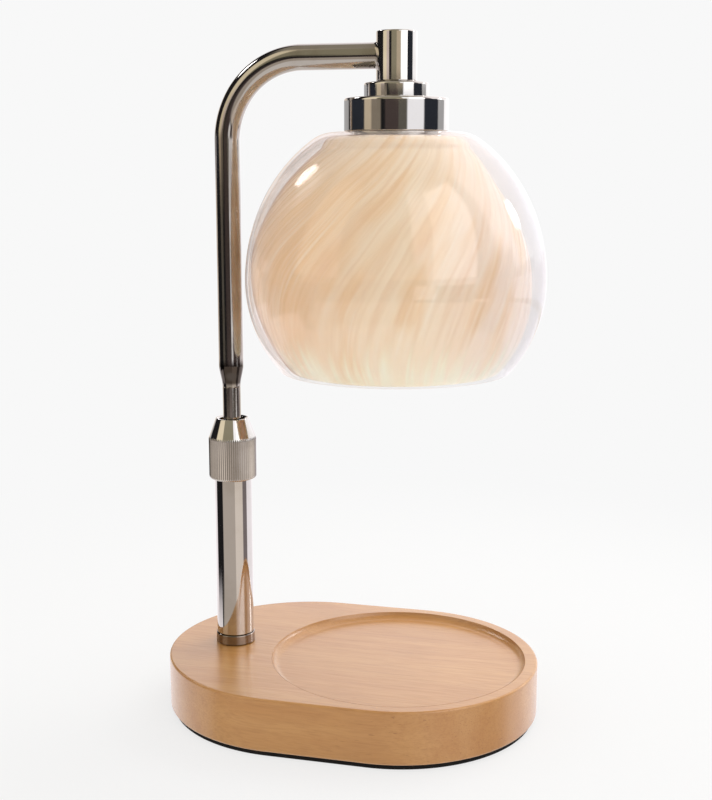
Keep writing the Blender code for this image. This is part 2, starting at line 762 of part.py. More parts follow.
# Bent strap that hangs the lampholder from the nipple
strap_half = strap_span / 2
strap_foot_top = strap_foot_bottom + strap_thickness
strap_outline = [
    (-strap_half, strap_top), (strap_half, strap_top), (strap_half, strap_foot_bottom),
    (strap_half - strap_foot, strap_foot_bottom), (strap_half - strap_foot, strap_foot_top),
    (strap_half - strap_thickness, strap_foot_top),
    (strap_half - strap_thickness, strap_top - strap_thickness),
]
strap_outline += [(-x, z) for x, z in reversed(strap_outline[2:])]
strap_shell = bmesh.new()
strap_front = [strap_shell.verts.new((x, -strap_width / 2, z)) for x, z in strap_outline]
strap_back = [strap_shell.verts.new((x, strap_width / 2, z)) for x, z in strap_outline]
strap_shell.faces.new(strap_front)
strap_shell.faces.new(strap_back)
bridge_rings(strap_shell, [strap_front, strap_back], closed=False)
holder_strap = make_object("holder_strap", strap_shell, zinc, head_place, arm_pivot)
strap_hole_bottom = strap_top - strap_thickness - overrun
strap_hole = peg_cutter("strap_hole", stud_clearance, strap_hole_bottom, strap_top + overrun, head_place)
cut(holder_strap, strap_hole)

# Porcelain lampholder: two twist-lock slots for the bulb's pins, lead holes and sunk screw holes
holder_outline = [
    (0.0, holder_bottom), (holder_radius - holder_edge, holder_bottom),
    (holder_radius, holder_bottom + holder_edge), (holder_radius, holder_top - holder_edge),
    (holder_radius - holder_edge, holder_top), (0.0, holder_top),
]
lampholder = turned("lampholder", holder_outline, porcelain, head_x, slim_sides, arm_pivot)
head_slot_half = pin_head_radius + seat_gap
pin_slot_half = pin_radius + seat_gap
screw_clearance = screw_radius + seat_gap
slot_roof = holder_bottom + slot_lip
entry_roof = (slot_roof + slot_top) / 2
screw_head_top = holder_bottom + screw_sink + screw_head_height
arc_steps = 3
lead_steps = 8
sides_of_head = (("1", 1), ("2", -1))


def twist_slot(number, side):
    """Narrow slot for the pin's shank, wide slot for its head above it, and the head's entry hole."""
    locked = side * math.pi / 2
    entry = locked + twist_angle
    shank_slot = arc_slot(pin_circle, pin_slot_half, locked, entry, arc_steps)
    head_slot = arc_slot(pin_circle, head_slot_half, locked, entry, arc_steps)
    entry_place = (head_x + pin_circle * math.cos(entry), pin_circle * math.sin(entry), 0.0)
    below = holder_bottom - overrun
    return [
        prism("shank_slot_" + number, shank_slot, below, slot_roof + seat_gap, zinc, head_place),
        prism("head_slot_" + number, head_slot, slot_roof, slot_top, zinc, head_place),
        peg_cutter("entry_" + number, head_slot_half + entry_ease, below, entry_roof, entry_place),
    ]


def holder_lead(number, side):
    """Insulated lead from a contact up through the porcelain and the nipple into the hub."""
    curve = bpy.data.curves.new("holder_lead_" + number, "CURVE")
    curve.dimensions = "3D"
    curve.bevel_depth = lead_radius
    curve.bevel_resolution = 2
    curve.use_fill_caps = True
    run = curve.splines.new("POLY")
    inner_place = thread_bore / 2
    points = [(0.0, side * pin_circle, contact_top + seat_gap)]
    for step in range(lead_steps + 1):
        t = step / lead_steps
        ease = t * t * (3 - 2 * t)
        height = holder_top + (nipple_bottom - holder_top) * t
        points.append((0.0, side * (pin_circle + (inner_place - pin_circle) * ease), height))
    points.append((0.0, side * inner_place, nipple_top + lead_end))
    run.points.add(len(points) - 1)
    for spot, place in zip(run.points, points):
        spot.co = (*place, 1.0)
    lead = bpy.data.objects.new("holder_lead_" + number, curve)
    curve.materials.append(silicone)
    bpy.context.scene.collection.objects.link(lead)
    lead.parent = arm_pivot
    lead.location = Vector(head_place) - arm_pivot.location


for number, side in sides_of_head:
    for slot in twist_slot(number, side):
        cut(lampholder, slot, "MANIFOLD")
    lead_place = (head_x, side * pin_circle, 0.0)
    lead_hole = peg_cutter(
        "lead_hole_" + number, lead_hole_radius, contact_top, holder_top + overrun, lead_place,
    )
    cut(lampholder, lead_hole, "MANIFOLD")
    locked = side * math.pi / 2
    contact_half = head_slot_half - seat_gap
    contact_outline = arc_slot(pin_circle, contact_half, locked, locked + twist_angle, arc_steps)
    prism("contact_" + number, contact_outline, contact_bottom, contact_top, brass, head_place, arm_pivot)
    holder_lead(number, side)

    # Screw that holds the porcelain to a foot of the strap
    screw_x = head_x + side * screw_offset
    sink_radius = screw_head_radius + seat_gap
    sink_top = screw_head_top + seat_gap
    hole_outline = [
        (0.0, holder_bottom - overrun), (sink_radius, holder_bottom - overrun), (sink_radius, sink_top),
        (screw_clearance, sink_top), (screw_clearance, strap_foot_top + overrun),
        (0.0, strap_foot_top + overrun),
    ]
    screw_hole = turned("screw_hole_" + number, hole_outline, zinc, screw_x, small_sides)
    cut(lampholder, screw_hole, "MANIFOLD")
    cut(holder_strap, screw_hole)
    screw_top = strap_foot_top + screw_end
    screw_outline = [
        (0.0, holder_bottom + screw_sink), (screw_head_radius, holder_bottom + screw_sink),
        (screw_head_radius, screw_head_top), (screw_radius, screw_head_top),
        (screw_radius, screw_top), (0.0, screw_top),
    ]
    turned("holder_screw_" + number, screw_outline, zinc, screw_x, small_sides, arm_pivot)

# Glass shade: clear casing, a squashed globe with a flat crown and an open foot, one even wall
def globe_outline(wall, steps):
    """Outer or inner run of the casing, from the foot up to the hole in the crown."""
    radius = shade_radius - wall
    crown = glass_top - wall
    rise = crown_rise - wall
    fall = skirt_fall - wall
    centre = (0.0, waist_height)
    foot_angle = -math.asin((waist_height - shade_bottom) / fall)
    corner_angle = math.asin((crown - waist_height) / rise)
    corner = (radius * math.cos(corner_angle), crown)
    stop_angle = math.asin((crown - shoulder_round / 2 - waist_height) / rise)
    run = arc_points(centre, (radius, fall), foot_angle, 0.0, steps)
    run += arc_points(centre, (radius, rise), 0.0, stop_angle, steps + 1)[1:]
    crown_edge = (corner[0] - shoulder_round, crown)
    run += soft_corner(run[-1], corner, crown_edge, 3)
    run += [crown_edge, (sleeve_radius + neck_clearance, crown)]
    return run


shade_outline = globe_outline(0.0, 5) + list(reversed(globe_outline(casing_wall, 3)))
turned("glass_shade", shade_outline, clear_glass, head_x, globe_sides, arm_pivot)


# Coloured liner inside the casing: it hangs from the crown, clamped with it, and leans towards the column
def eased(share):
    share = min(max(share, 0.0), 1.0)
    return share * share * (3.0 - 2.0 * share)


def liner_radius(height):
    """The globe's radius less a gap that widens above the waist, down to the neck's."""
    reach = crown_rise if height > waist_height else skirt_fall
    globe = shade_radius * math.sqrt(1.0 - ((height - waist_height) / reach) ** 2)
    drawn_in = eased((height - waist_height - liner_draw_start) / liner_draw_length)
    gap = liner_gap + (liner_shoulder_gap - liner_gap) * drawn_in
    return max(globe - gap, crown_corner_radius - liner_neck_inset)


def liner_lean(height):
    """Part of the room between the two glasses, eased in from the foot and out again under the crown."""
    room = liner_gap - casing_wall - seat_gap
    up = eased((height - shade_bottom) / lean_rise)
    away = eased((height - crown_inside + lean_fall) / lean_fall)
    return lean_share * room * up * (1.0 - away)


def liner_outline(wall, below, above):
    """Outer or inner run of the liner, from its foot up to the hole in the crown."""
    crown = liner_crown - wall
    foot_angle = -math.asin((waist_height - shade_bottom - liner_foot_lift) / skirt_fall)
    neck_angle = math.asin((liner_crown - shoulder_round - waist_height) / crown_rise)
    heights = [waist_height + skirt_fall * math.sin(foot_angle * (1 - step / below)) for step in range(below)]
    heights += [waist_height + crown_rise * math.sin(neck_angle * step / above) for step in range(above + 1)]
    run = [(liner_radius(height) - wall, height) for height in heights]
    neck = crown_corner_radius - liner_neck_inset
    crown_edge = (neck - shoulder_round, crown)
    run += soft_corner(run[-1], (neck - wall, crown), crown_edge, 3)
    run += [crown_edge, (sleeve_radius + neck_clearance, crown)]
    return run


liner_run = liner_outline(0.0, 3, 6) + list(reversed(liner_outline(liner_wall, 2, 4)))
turned("shade_liner", liner_run, art_glass, head_x, plain_sides, arm_pivot, lean=liner_lean)

# Silicone washers above and below the crown, and the lobed clamp ring
neck_gasket_bottom = glass_top + seat_gap
neck_gasket_top = neck_gasket_bottom + gasket_height
washer(
    "neck_gasket", sleeve_clearance, cup_bore - seat_gap, neck_gasket_bottom, neck_gasket_top,
    silicone, head_x, hex_sides, arm_pivot,
)
washer(
    "clamp_gasket", sleeve_clearance, clamp_gasket_radius, clamp_gasket_bottom, clamp_gasket_top,
    silicone, head_x, hex_sides, arm_pivot,
)
ring_radius = sleeve_clearance + ring_width


def lobes(angle, radius, index):
    """Finger lobes on the ring's rim."""
    if radius < ring_radius:
        return radius
    return radius - ring_scallop * (1.0 + math.cos(ring_lobes * angle)) / 2


ring_outline = [
    (sleeve_clearance, ring_bottom), (ring_radius, ring_bottom),
    (ring_radius, ring_top), (sleeve_clearance, ring_top),
]
turned("clamp_ring", ring_outline, zinc, head_x, 4 * ring_lobes, arm_pivot, lobes)

# Bulb: ceramic cap with two headed pins, mirrored reflector, front glass and burner
cap_outline = [
    (0.0, cap_top), (cap_radius - cap_edge, cap_top), (cap_radius, cap_top - cap_edge),
    (cap_radius, cap_bottom),
    (neck_radius + seat_gap, cap_bottom), (neck_radius + seat_gap, socket_roof), (0.0, socket_roof),
]
bulb_cap = turned("bulb_cap", cap_outline, porcelain, head_x, small_sides, bulb_pivot)
pin_shank_top = pin_top - pin_head_height
pin_bottom = cap_top - pin_root + seat_gap
for number, side in sides_of_head:
    pin_place = (head_x, side * pin_circle, 0.0)
    pin_hole_bottom = cap_top - pin_root
    pin_hole = peg_cutter("pin_hole_" + number, pin_slot_half, pin_hole_bottom, cap_top + overrun, pin_place)
    cut(bulb_cap, pin_hole)
    pin_outline = [
        (0.0, pin_bottom), (pin_radius, pin_bottom), (pin_radius, pin_shank_top),
        (pin_head_radius, pin_shank_top), (pin_head_radius, pin_top), (0.0, pin_top),
    ]
    pin = turned("bulb_pin_" + number, pin_outline, brass, head_x, small_sides, bulb_pivot)
    pin.location.y = side * pin_circle

neck_top = socket_roof - seat_gap
neck_bottom = cap_bottom - seat_gap


def reflector_run(wall):
    """Bowl of the reflector from its rim up to its neck, as a parabola, then the straight neck."""
    rim = reflector_radius - wall
    neck = neck_radius - wall
    bowl_bottom = reflector_bottom + reflector_rim
    bowl_top = neck_bottom
    run = [(rim, reflector_bottom)]
    bowl_steps = 5
    for step in range(bowl_steps + 1):
        radius = rim + (neck - rim) * step / bowl_steps
        share = (rim ** 2 - radius ** 2) / (rim ** 2 - neck ** 2)
        run.append((radius, bowl_bottom + (bowl_top - bowl_bottom) * share))
    return run + [(neck, neck_top)]


reflector_outline = reflector_run(0.0) + list(reversed(reflector_run(reflector_wall)))
turned("bulb_reflector", reflector_outline, mirror_coat, head_x, slim_sides, bulb_pivot)
lens_outline = [
    (0.0, lens_bottom), (reflector_radius, lens_bottom),
    (reflector_radius, lens_top), (0.0, lens_top),
]
turned("bulb_lens", lens_outline, lamp_glass, head_x, slim_sides, bulb_pivot)

burner_top = neck_bottom
burner_bottom = burner_top - burner_length
burner_outline = [(0.0, burner_bottom)]
burner_outline += arc_points(
    (0.0, burner_bottom + burner_radius), (burner_radius, burner_radius), -math.pi / 2, 0.0, 4
)[1:]
burner_outline += [(burner_radius, burner_top), (stem_radius, burner_top)]
burner_outline += [(stem_radius, neck_top), (0.0, neck_top)]
turned("bulb_burner", burner_outline, lamp_glass, head_x, small_sides, bulb_pivot)
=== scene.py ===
# Candle warmer lamp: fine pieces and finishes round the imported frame, with a studio and a camera
import math

import bpy
import numpy as np
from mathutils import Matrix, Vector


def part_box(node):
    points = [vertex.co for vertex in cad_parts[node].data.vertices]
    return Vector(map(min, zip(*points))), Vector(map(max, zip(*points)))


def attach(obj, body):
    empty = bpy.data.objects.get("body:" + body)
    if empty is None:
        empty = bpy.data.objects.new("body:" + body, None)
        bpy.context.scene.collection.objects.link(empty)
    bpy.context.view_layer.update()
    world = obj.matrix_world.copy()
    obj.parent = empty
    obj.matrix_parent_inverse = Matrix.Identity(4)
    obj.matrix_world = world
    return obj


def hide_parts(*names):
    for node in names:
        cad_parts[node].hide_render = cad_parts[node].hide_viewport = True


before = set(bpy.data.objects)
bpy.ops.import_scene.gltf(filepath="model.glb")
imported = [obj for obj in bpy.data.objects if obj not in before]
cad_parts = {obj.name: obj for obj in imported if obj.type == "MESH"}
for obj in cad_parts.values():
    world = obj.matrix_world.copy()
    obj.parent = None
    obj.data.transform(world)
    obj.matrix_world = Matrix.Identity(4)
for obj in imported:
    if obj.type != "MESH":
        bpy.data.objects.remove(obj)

mm = 0.001
fullTurn = 2 * math.pi
rightward = (0.968, 0.2512)        # the way to the camera's right, on the floor
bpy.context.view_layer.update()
print("frame loaded,", len(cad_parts), "nodes")


# Shader maths: a wire is a socket, and an expression on wires and numbers adds Math nodes
class Wire:
    def __init__(self, tree, socket):
        self.tree = tree
        self.socket = socket

    def maths(self, operation, *values):
        return self.tree.node("Math", {"operation": operation}, dict(enumerate(values)))

    def __add__(self, other): return self.maths("ADD", self, other)
    def __radd__(self, other): return self.maths("ADD", other, self)
    def __sub__(self, other): return self.maths("SUBTRACT", self, other)
    def __rsub__(self, other): return self.maths("SUBTRACT", other, self)
    def __mul__(self, other): return self.maths("MULTIPLY", self, other)
    def __rmul__(self, other): return self.maths("MULTIPLY", other, self)
    def __truediv__(self, other): return self.maths("DIVIDE", self, other)
    def __rtruediv__(self, other): return self.maths("DIVIDE", other, self)
    def __pow__(self, other): return self.maths("POWER", self, other)
    def sine(self): return self.maths("SINE", self)
    def cosine(self): return self.maths("COSINE", self)
    def atMost(self, other): return self.maths("MINIMUM", self, other)
    def atLeast(self, other): return self.maths("MAXIMUM", self, other)


class Tree:
    def __init__(self, owner):
        owner.use_nodes = True
        self.owner = owner
        self.tree = owner.node_tree
        self.tree.nodes.clear()

    # Adds a node: its settings first, then a value or a wire for each socket named
    def node(self, kind, settings=None, inputs=None, output=0):
        made = self.tree.nodes.new("ShaderNode" + kind)
        for key, value in (settings or {}).items():
            if key == "stops":
                elements = made.color_ramp.elements
                while len(elements) < len(value):
                    elements.new(0.5)
                for element, (position, tone) in zip(elements, value):
                    element.position = position
                    element.color = tone
            else:
                setattr(made, key, value)
        for key, value in (inputs or {}).items():
            if isinstance(value, Wire):
                self.tree.links.new(value.socket, made.inputs[key])
            else:
                made.inputs[key].default_value = value
        return Wire(self, made.outputs[output])

    def place(self):
        return self.node("TexCoord", output="Object")

    def axes(self, vector):
        apart = self.node("SeparateXYZ", inputs={"Vector": vector})
        outputs = apart.socket.node.outputs
        return [Wire(self, outputs[index]) for index in range(3)]

    def together(self, x, y, z):
        return self.node("CombineXYZ", inputs={"X": x, "Y": y, "Z": z})

    def noise(self, vector, scale=1.0, detail=2.0, roughness=0.5, distortion=0.0):
        return self.node("TexNoise", inputs={
            "Vector": vector, "Scale": scale, "Detail": detail,
            "Roughness": roughness, "Distortion": distortion})

    # Smooth step of a value from one range onto another
    def step(self, value, low, high, toLow=0.0, toHigh=1.0):
        return self.node("MapRange", {"interpolation_type": "SMOOTHSTEP"}, {
            "Value": value, "From Min": low, "From Max": high, "To Min": toLow, "To Max": toHigh})

    def mixed(self, share, first, second, way="MIX"):
        return self.node("Mix", {"data_type": "RGBA", "blend_type": way}, {0: share, 6: first, 7: second}, 2)

    def bump(self, height, strength, distance):
        return self.node("Bump", inputs={"Height": height, "Strength": strength, "Distance": distance})

    def shader(self, **sockets):
        return self.node("BsdfPrincipled", inputs=sockets)

    def close(self, shader):
        output = self.tree.nodes.new("ShaderNodeOutput" + ("World" if self.isWorld() else "Material"))
        self.tree.links.new(shader.socket, output.inputs["Surface"])
        return self.owner

    def isWorld(self):
        return isinstance(self.owner, bpy.types.World)


# Linear colour of an 8-bit screen colour
def tone(red, green=None, blue=None):
    green, blue = (red, red) if green is None else (green, blue)
    screen = np.array([red, green, blue]) / 255
    linear = np.where(screen <= 0.04045, screen / 12.92, ((screen + 0.055) / 1.055) ** 2.4)
    return (*[float(value) for value in linear], 1.0)


# Surfaces
weld = 1e-7


# Closed mesh over a grid of points: quads between each row and column and the next, a triangle beside a
# pole, turned over as a whole when its signed volume comes out negative
def surface(name, points, roundRows=False, roundColumns=True, sharp=30.0):
    rows, columns = points.shape[:2]
    ids = np.arange(rows * columns).reshape(rows, columns)
    pole = np.ptp(points, axis=1).max(axis=1) < weld
    ids[pole] = ids[pole, :1]
    r, c = np.meshgrid(np.arange(rows if roundRows else rows - 1),
                       np.arange(columns if roundColumns else columns - 1), indexing="ij")
    after, beside = (r + 1) % rows, (c + 1) % columns
    quads = np.stack([ids[r, c], ids[r, beside], ids[after, beside], ids[after, c]], -1).reshape(-1, 4)
    used, quads = np.unique(quads, return_inverse=True)
    quads = quads.reshape(-1, 4)
    vertices = points.reshape(-1, 3)[used]
    a, b, c, d = (vertices[quads[:, corner]] for corner in range(4))
    volume = (a * np.cross(b, c)).sum() + (a * np.cross(c, d)).sum()
    if volume < 0:
        quads = quads[:, ::-1]
    whole = quads != np.roll(quads, -1, axis=1)
    full = whole.all(axis=1)
    part = whole.sum(axis=1) == 3
    corners = quads[full].tolist() + quads[part][whole[part]].reshape(-1, 3).tolist()
    mesh = bpy.data.meshes.new(name)
    mesh.from_pydata(vertices.tolist(), [], corners)
    mesh.validate()
    mesh.shade_smooth()
    mesh.set_sharp_from_angle(angle=math.radians(sharp))
    made = bpy.data.objects.new(name, mesh)
    bpy.context.scene.collection.objects.link(made)
    return made


# Outline of (radius, height) with its corners turned off round: an arc tangent to both runs, and a point
# just beyond each end of the arc, which keeps flat runs flat under smooth shading
def rounded(corners, steps=6, closed=True, hold=0.12):
    corners = np.array(corners, float)
    count = len(corners)
    run = []
    for index, (radius, height, turn) in enumerate(corners):
        here = np.array([radius, height])
        if turn <= 0 or (not closed and index in (0, count - 1)):
            run.append(here[None])
            continue
        before = corners[index - 1, :2] - here
        beyond = corners[(index + 1) % count, :2] - here
        before, beyond = before / np.linalg.norm(before), beyond / np.linalg.norm(beyond)
        half = math.acos(np.clip(before @ beyond, -1, 1)) / 2
        reach = turn / math.tan(half)
        middle = before + beyond
        centre = here + middle / np.linalg.norm(middle) * turn / math.sin(half)
        sweep = math.pi - 2 * half
        t = np.linspace(0, 1, steps + 1)[:, None]
        start, end = here + before * reach - centre, here + beyond * reach - centre
        arc = centre + (np.sin((1 - t) * sweep) * start + np.sin(t * sweep) * end) / math.sin(sweep)
        keep = min(hold, 0.3 * turn)
        run += [(here + before * (reach + keep))[None], arc, (here + beyond * (reach + keep))[None]]
    return np.vstack(run) * mm


# Surface of revolution: a point of the outline at (radius, height) goes round the upright line at axisX;
# reach(angle, radius, height) may change the radius on the way
def turned(name, outline, axisX, sides=192, closed=True, reach=None, sharp=30.0):
    angle = (np.arange(sides) * fullTurn / sides)[None]
    radius = np.repeat(outline[:, :1], sides, 1)
    height = np.repeat(outline[:, 1:], sides, 1)
    if reach:
        radius = reach(angle, radius, height)
    points = np.stack([axisX + radius * np.cos(angle), radius * np.sin(angle), height], -1)
    return surface(name, points, roundRows=closed, sharp=sharp)


# Middle, outer radius, bottom and top of a turned node, in millimetres
def span(node):
    low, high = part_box(node)
    return (low.x + high.x) / 2 / mm, (high.y - low.y) / 2 / mm, low.z / mm, high.z / mm


def dress(made, body, slotName, finish, *nodes):
    made.data.materials.clear()
    made.data.materials.append(finish)
    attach(made, body)
    if nodes:
        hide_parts(*nodes)
    return made


def ease(t):
    t = np.clip(t, 0, 1)
    return t * t * (3 - 2 * t)


# Finishes
finishes = {}


def newFinish(name):
    return Tree(bpy.data.materials.new(name))


# foot and footWarm make a darker copy of the nickel for the foot ring: painted shade for the shaded wood it
# reflects where it stands
polish = dict(nickel=(208, 205, 203), warm=(200, 196, 192), darkNickel=(182, 177, 172),
              darkWarm=(172, 165, 158), swageShade=(84, 77, 72), roughness=0.035, wornRoughness=0.075,
              darkRoughness=0.09, darkWorn=0.13, foot=(158, 146, 138), footWarm=(142, 130, 120),
              footRoughness=0.09, footWorn=0.16)
# Heights in metres of the band of painted shade on the arm's swage
swageShadeBand = dict(above=0.1705, full=0.1660, low=0.1585, below=0.1565)


# Plated metal: colour and gloss drift in soft clouds, with faint draw lines and pin-prick wear; where asked, a
# band of painted shade darkens the swage
def plated(name, clean, warm, roughness, worn, stretch=(1, 1, 1), lines=0.15, swageShade=None):
    tree = newFinish(name)
    place = tree.place()
    drift = tree.noise(place, scale=55, detail=3)
    longWay = tree.node("Mapping", inputs={"Vector": place, "Scale": stretch})
    drawn = tree.noise(longWay, scale=1400, detail=2)
    specks = tree.step(tree.noise(place, scale=2600, detail=1), 0.70, 0.78)
    gloss = tree.step(drift, 0.35, 0.7, roughness, worn) + specks * 0.06
    wave = tree.noise(place, scale=90, detail=1) * 6 + drawn * lines + specks * 0.1
    colour = tree.mixed(tree.step(drift, 0.4, 0.65), tone(*clean), tone(*warm))
    # Painted shade: the swage band gets a dark colour that stands in for the dark reflection it shows
    if swageShade:
        height = tree.axes(place)[2]
        swage = tree.step(height, swageShadeBand["above"], swageShadeBand["full"])
        swage = swage * tree.step(height, swageShadeBand["below"], swageShadeBand["low"])
        colour = tree.mixed(swage, colour, tone(*swageShade))
    return tree.close(tree.shader(**{
        "Base Color": colour, "Metallic": 1.0, "Roughness": gloss,
        "Normal": tree.bump(wave, 0.25, 0.00001)}))


finishes["polished_nickel"] = plated("polishedNickel", polish["nickel"], polish["warm"],
                                     polish["roughness"], polish["wornRoughness"], (1, 1, 0.02))
finishes["dark_nickel"] = plated("darkNickel", polish["darkNickel"], polish["darkWarm"],
                                 polish["darkRoughness"], polish["darkWorn"], swageShade=polish["swageShade"])
# Foot ring: the same nickel darkened, as painted shade
shadedFootNickel = plated("shadedFootNickel", polish["foot"], polish["footWarm"], polish["footRoughness"], polish["footWorn"])
finishes["zinc_steel"] = plated("zincSteel", (196, 197, 195), (178, 176, 168), 0.28, 0.42, (1, 1, 0.1), 1.5)
finishes["brass"] = plated("turnedBrass", (214, 184, 118), (190, 154, 86), 0.22, 0.36, (1, 1, 0.1), 1.0)

wood = dict(pale=(188, 138, 78), middle=(181, 128, 68), deep=(156, 102, 50), fleck=(128, 77, 38),
            roughness=0.38, coat=1.0, coatRoughness=0.27)


# Beech: straight grain along the slab, growth bands, short dark ray flecks and a satin lacquer
def beechFinish():
    tree = newFinish("lacqueredBeech")
    x, y, z = tree.axes(tree.place())
    bow = tree.noise(tree.together(x * 6, y * 14, z * 14), detail=2) * 0.020
    across = y + bow
    upward = z + bow * 0.5
    bands = tree.noise(tree.together(x * 4, across * 105, upward * 60), detail=3, roughness=0.55)
    lines = tree.noise(tree.together(x * 26, across * 560, upward * 480), detail=3, roughness=0.6)
    fibre = tree.noise(tree.together(x * 60, across * 1500, upward * 1500), detail=3, roughness=0.6)
    patches = tree.noise(tree.together(x * 14, across * 26, upward * 26), detail=2)
    flecks = tree.noise(tree.together(x * 130, across * 1300, upward * 1300), detail=1)
    fleckShare = tree.step(flecks, 0.66, 0.76) * tree.step(patches, 0.45, 0.62)
    colour = tree.mixed(tree.step(bands, 0.36, 0.66), tone(*wood["pale"]), tone(*wood["middle"]))
    colour = tree.mixed(tree.step(patches, 0.45, 0.75, 0.0, 0.3), colour, tone(*wood["deep"]))
    colour = tree.mixed(tree.step(lines, 0.50, 0.72, 0.0, 0.28), colour, tone(*wood["deep"]))
    colour = tree.mixed(tree.step(fibre, 0.35, 0.75, 0.0, 0.38), colour, tone(*wood["deep"]))
    colour = tree.mixed(fleckShare * 0.45, colour, tone(*wood["fleck"]))
    gloss = tree.step(fibre, 0.3, 0.7, wood["roughness"] - 0.03, wood["roughness"] + 0.06)
    height = fibre * 0.5 + bands * 0.3 - fleckShare
    return tree.close(tree.shader(**{
        "Base Color": colour, "Roughness": gloss, "IOR": 1.5, "Coat Weight": wood["coat"],
        "Coat Roughness": wood["coatRoughness"], "Normal": tree.bump(height, 0.25, 0.00004)}))


finishes["beech"] = beechFinish()


# Matt moulded or foamed stuff: fine pores, soft mottling
def moulded(name, base, other, roughness, grain, depth, gloss=0.5):
    tree = newFinish(name)
    place = tree.place()
    pores = tree.noise(place, scale=grain, detail=3, roughness=0.6)
    clouds = tree.noise(place, scale=grain / 18, detail=2)
    colour = tree.mixed(tree.step(clouds, 0.3, 0.7), tone(*base), tone(*other))
    colour = tree.mixed(tree.step(pores, 0.45, 0.8, 0.0, 0.4), colour, tone(*other))
    return tree.close(tree.shader(**{
        "Base Color": colour, "Roughness": tree.step(pores, 0.3, 0.7, roughness - 0.05, roughness + 0.05),
        "Specular IOR Level": gloss, "Normal": tree.bump(pores, 0.4, depth * mm)}))


finishes["pad_foam"] = moulded("padFoam", (15, 13, 13), (26, 24, 23), 0.85, 2200, 0.12, 0.25)
finishes["inlet_rubber"] = moulded("inletRubber", (38, 38, 38), (52, 51, 50), 0.55, 1600, 0.03)
finishes["nylon"] = moulded("guideNylon", (232, 229, 218), (216, 212, 198), 0.45, 900, 0.02)
finishes["porcelain"] = moulded("glazedPorcelain", (240, 237, 228), (228, 224, 212), 0.18, 500, 0.02)
finishes["silicone"] = moulded("clearSilicone", (224, 220, 210), (208, 204, 194), 0.5, 1200, 0.02)


# Lamp glass of the lens and the burner: clear, with a faint dimpled surface
def lampGlassFinish():
    tree = newFinish("lampGlass")
    dimples = tree.noise(tree.place(), scale=420, detail=1)
    return tree.close(tree.shader(**{
        "Base Color": tree.mixed(tree.step(dimples, 0.3, 0.7), tone(246, 248, 248), tone(236, 240, 240)),
        "Roughness": tree.step(dimples, 0.3, 0.7, 0.02, 0.08), "Transmission Weight": 0.95,
        "IOR": 1.45, "Normal": tree.bump(dimples, 0.5, 0.2 * mm)}))


finishes["lamp_glass"] = lampGlassFinish()
finishes["mirror_coat"] = plated("mirrorCoat", (222, 222, 226), (206, 204, 214), 0.06, 0.16)

shade = dict(casingWall=1.4, linerWall=1.8, seat=0.3, hole=20.3, gap=4.6, shoulderGap=9.2, drawStart=6.0,
             drawLength=47.0, footLift=0.3, leanShare=0.93, leanRise=65.0, leanFall=22.0, neckInset=0.46,
             round=5.5, twist=121.5, twistFrom=0.178)


casing = dict(milk=(216, 220, 229), blush=(242, 229, 222), nearBloom=0.25, crownBloom=0.32, farBloom=0.55,
              haze=0.02)
# left and right tones are partly the glass's own tint and partly painted light and shade: darker, more orange on
# the camera's left, paler and pinker on its right
streaks = dict(middle=(252, 228, 200), left=(241, 203, 164), right=(249, 222, 206), ochre=(242, 199, 150),
               cream=(254, 240, 223), amber=(232, 186, 143), foot=(255, 253, 228), rim=(186, 138, 98))


# Streaks of the coloured layer: turn angle less a twist that grows with the square of the height, so the
# streaks lean over towards the crown
def artGlassFinish(headX):
    tree = newFinish("streakedGlass")
    x, y, z = tree.axes(tree.place())
    outX = x - headX
    turn = tree.node("Math", {"operation": "ARCTAN2"}, {0: y, 1: outX})
    rise = (z - shade["twistFrom"]).atLeast(0.0)
    swirl = turn - rise * rise * shade["twist"]
    wander = tree.noise(tree.together(outX * 22, y * 22, z * 12), detail=2)
    swirl = swirl + (wander - 0.5) * 0.16
    across, along = swirl.cosine(), swirl.sine()

    def streak(fineness, length, detail, roughness=0.5, distortion=0.0):
        return tree.noise(tree.together(across * fineness, along * fineness, z * length),
                          detail=detail, roughness=roughness, distortion=distortion)

    fine = streak(40.0, 18, 2, 0.5, 0.15)
    medium = streak(14.0, 16, 3, 0.5, 0.15)
    broad = streak(4.0, 22, 2)
    # Painted light and shade with the glass's own tint: darker towards the camera's left, paler towards its right
    sideways = outX * rightward[0] + y * rightward[1]
    left = tree.step(sideways, -0.062, 0.0, 1.0, 0.0)
    right = tree.step(sideways, 0.0, 0.055)
    colour = tree.mixed(left, tone(*streaks["middle"]), tone(*streaks["left"]))
    colour = tree.mixed(right, colour, tone(*streaks["right"]))
    colour = tree.mixed(tree.step(broad, 0.46, 0.66, 0.0, 0.55), colour, tone(*streaks["ochre"]))
    colour = tree.mixed(tree.step(medium, 0.50, 0.72, 0.0, 0.24), colour, tone(*streaks["cream"]))
    colour = tree.mixed(tree.step(medium, 0.48, 0.30, 0.0, 0.3), colour, tone(*streaks["amber"]))
    colour = tree.mixed(tree.step(fine, 0.56, 0.74, 0.0, 0.4), colour, tone(*streaks["cream"]))
    colour = tree.mixed(tree.step(fine, 0.44, 0.28, 0.0, 0.2), colour, tone(*streaks["amber"]))
    # The bottom band is the glass's own paler colour, pushed paler still as painted light where the foot curves
    # under, away from the light
    foot = tree.step(z + (medium - 0.5) * 0.045 + (fine - 0.5) * 0.020, 0.186, 0.164, 0.0, 0.9)
    colour = tree.mixed(foot, colour, tone(*streaks["foot"]))
    # Painted shade: the colour darkens to amber where the layer is seen edge on, on all but the right side
    facing = tree.node("LayerWeight", inputs={"Blend": 0.5}, output="Facing")
    colour = tree.mixed(tree.step(facing, 0.74, 0.95) * (1 - right), colour, tone(*streaks["rim"]))
    return tree.close(tree.shader(**{
        "Base Color": colour, "Roughness": tree.step(medium, 0.3, 0.7, 0.22, 0.34),
        "Specular IOR Level": 0.2, "Subsurface Weight": 0.4,
        "Subsurface Radius": (0.9, 0.75, 0.6), "Subsurface Scale": 0.004,
        "Normal": tree.bump(fine, 0.1, 0.05 * mm)}))


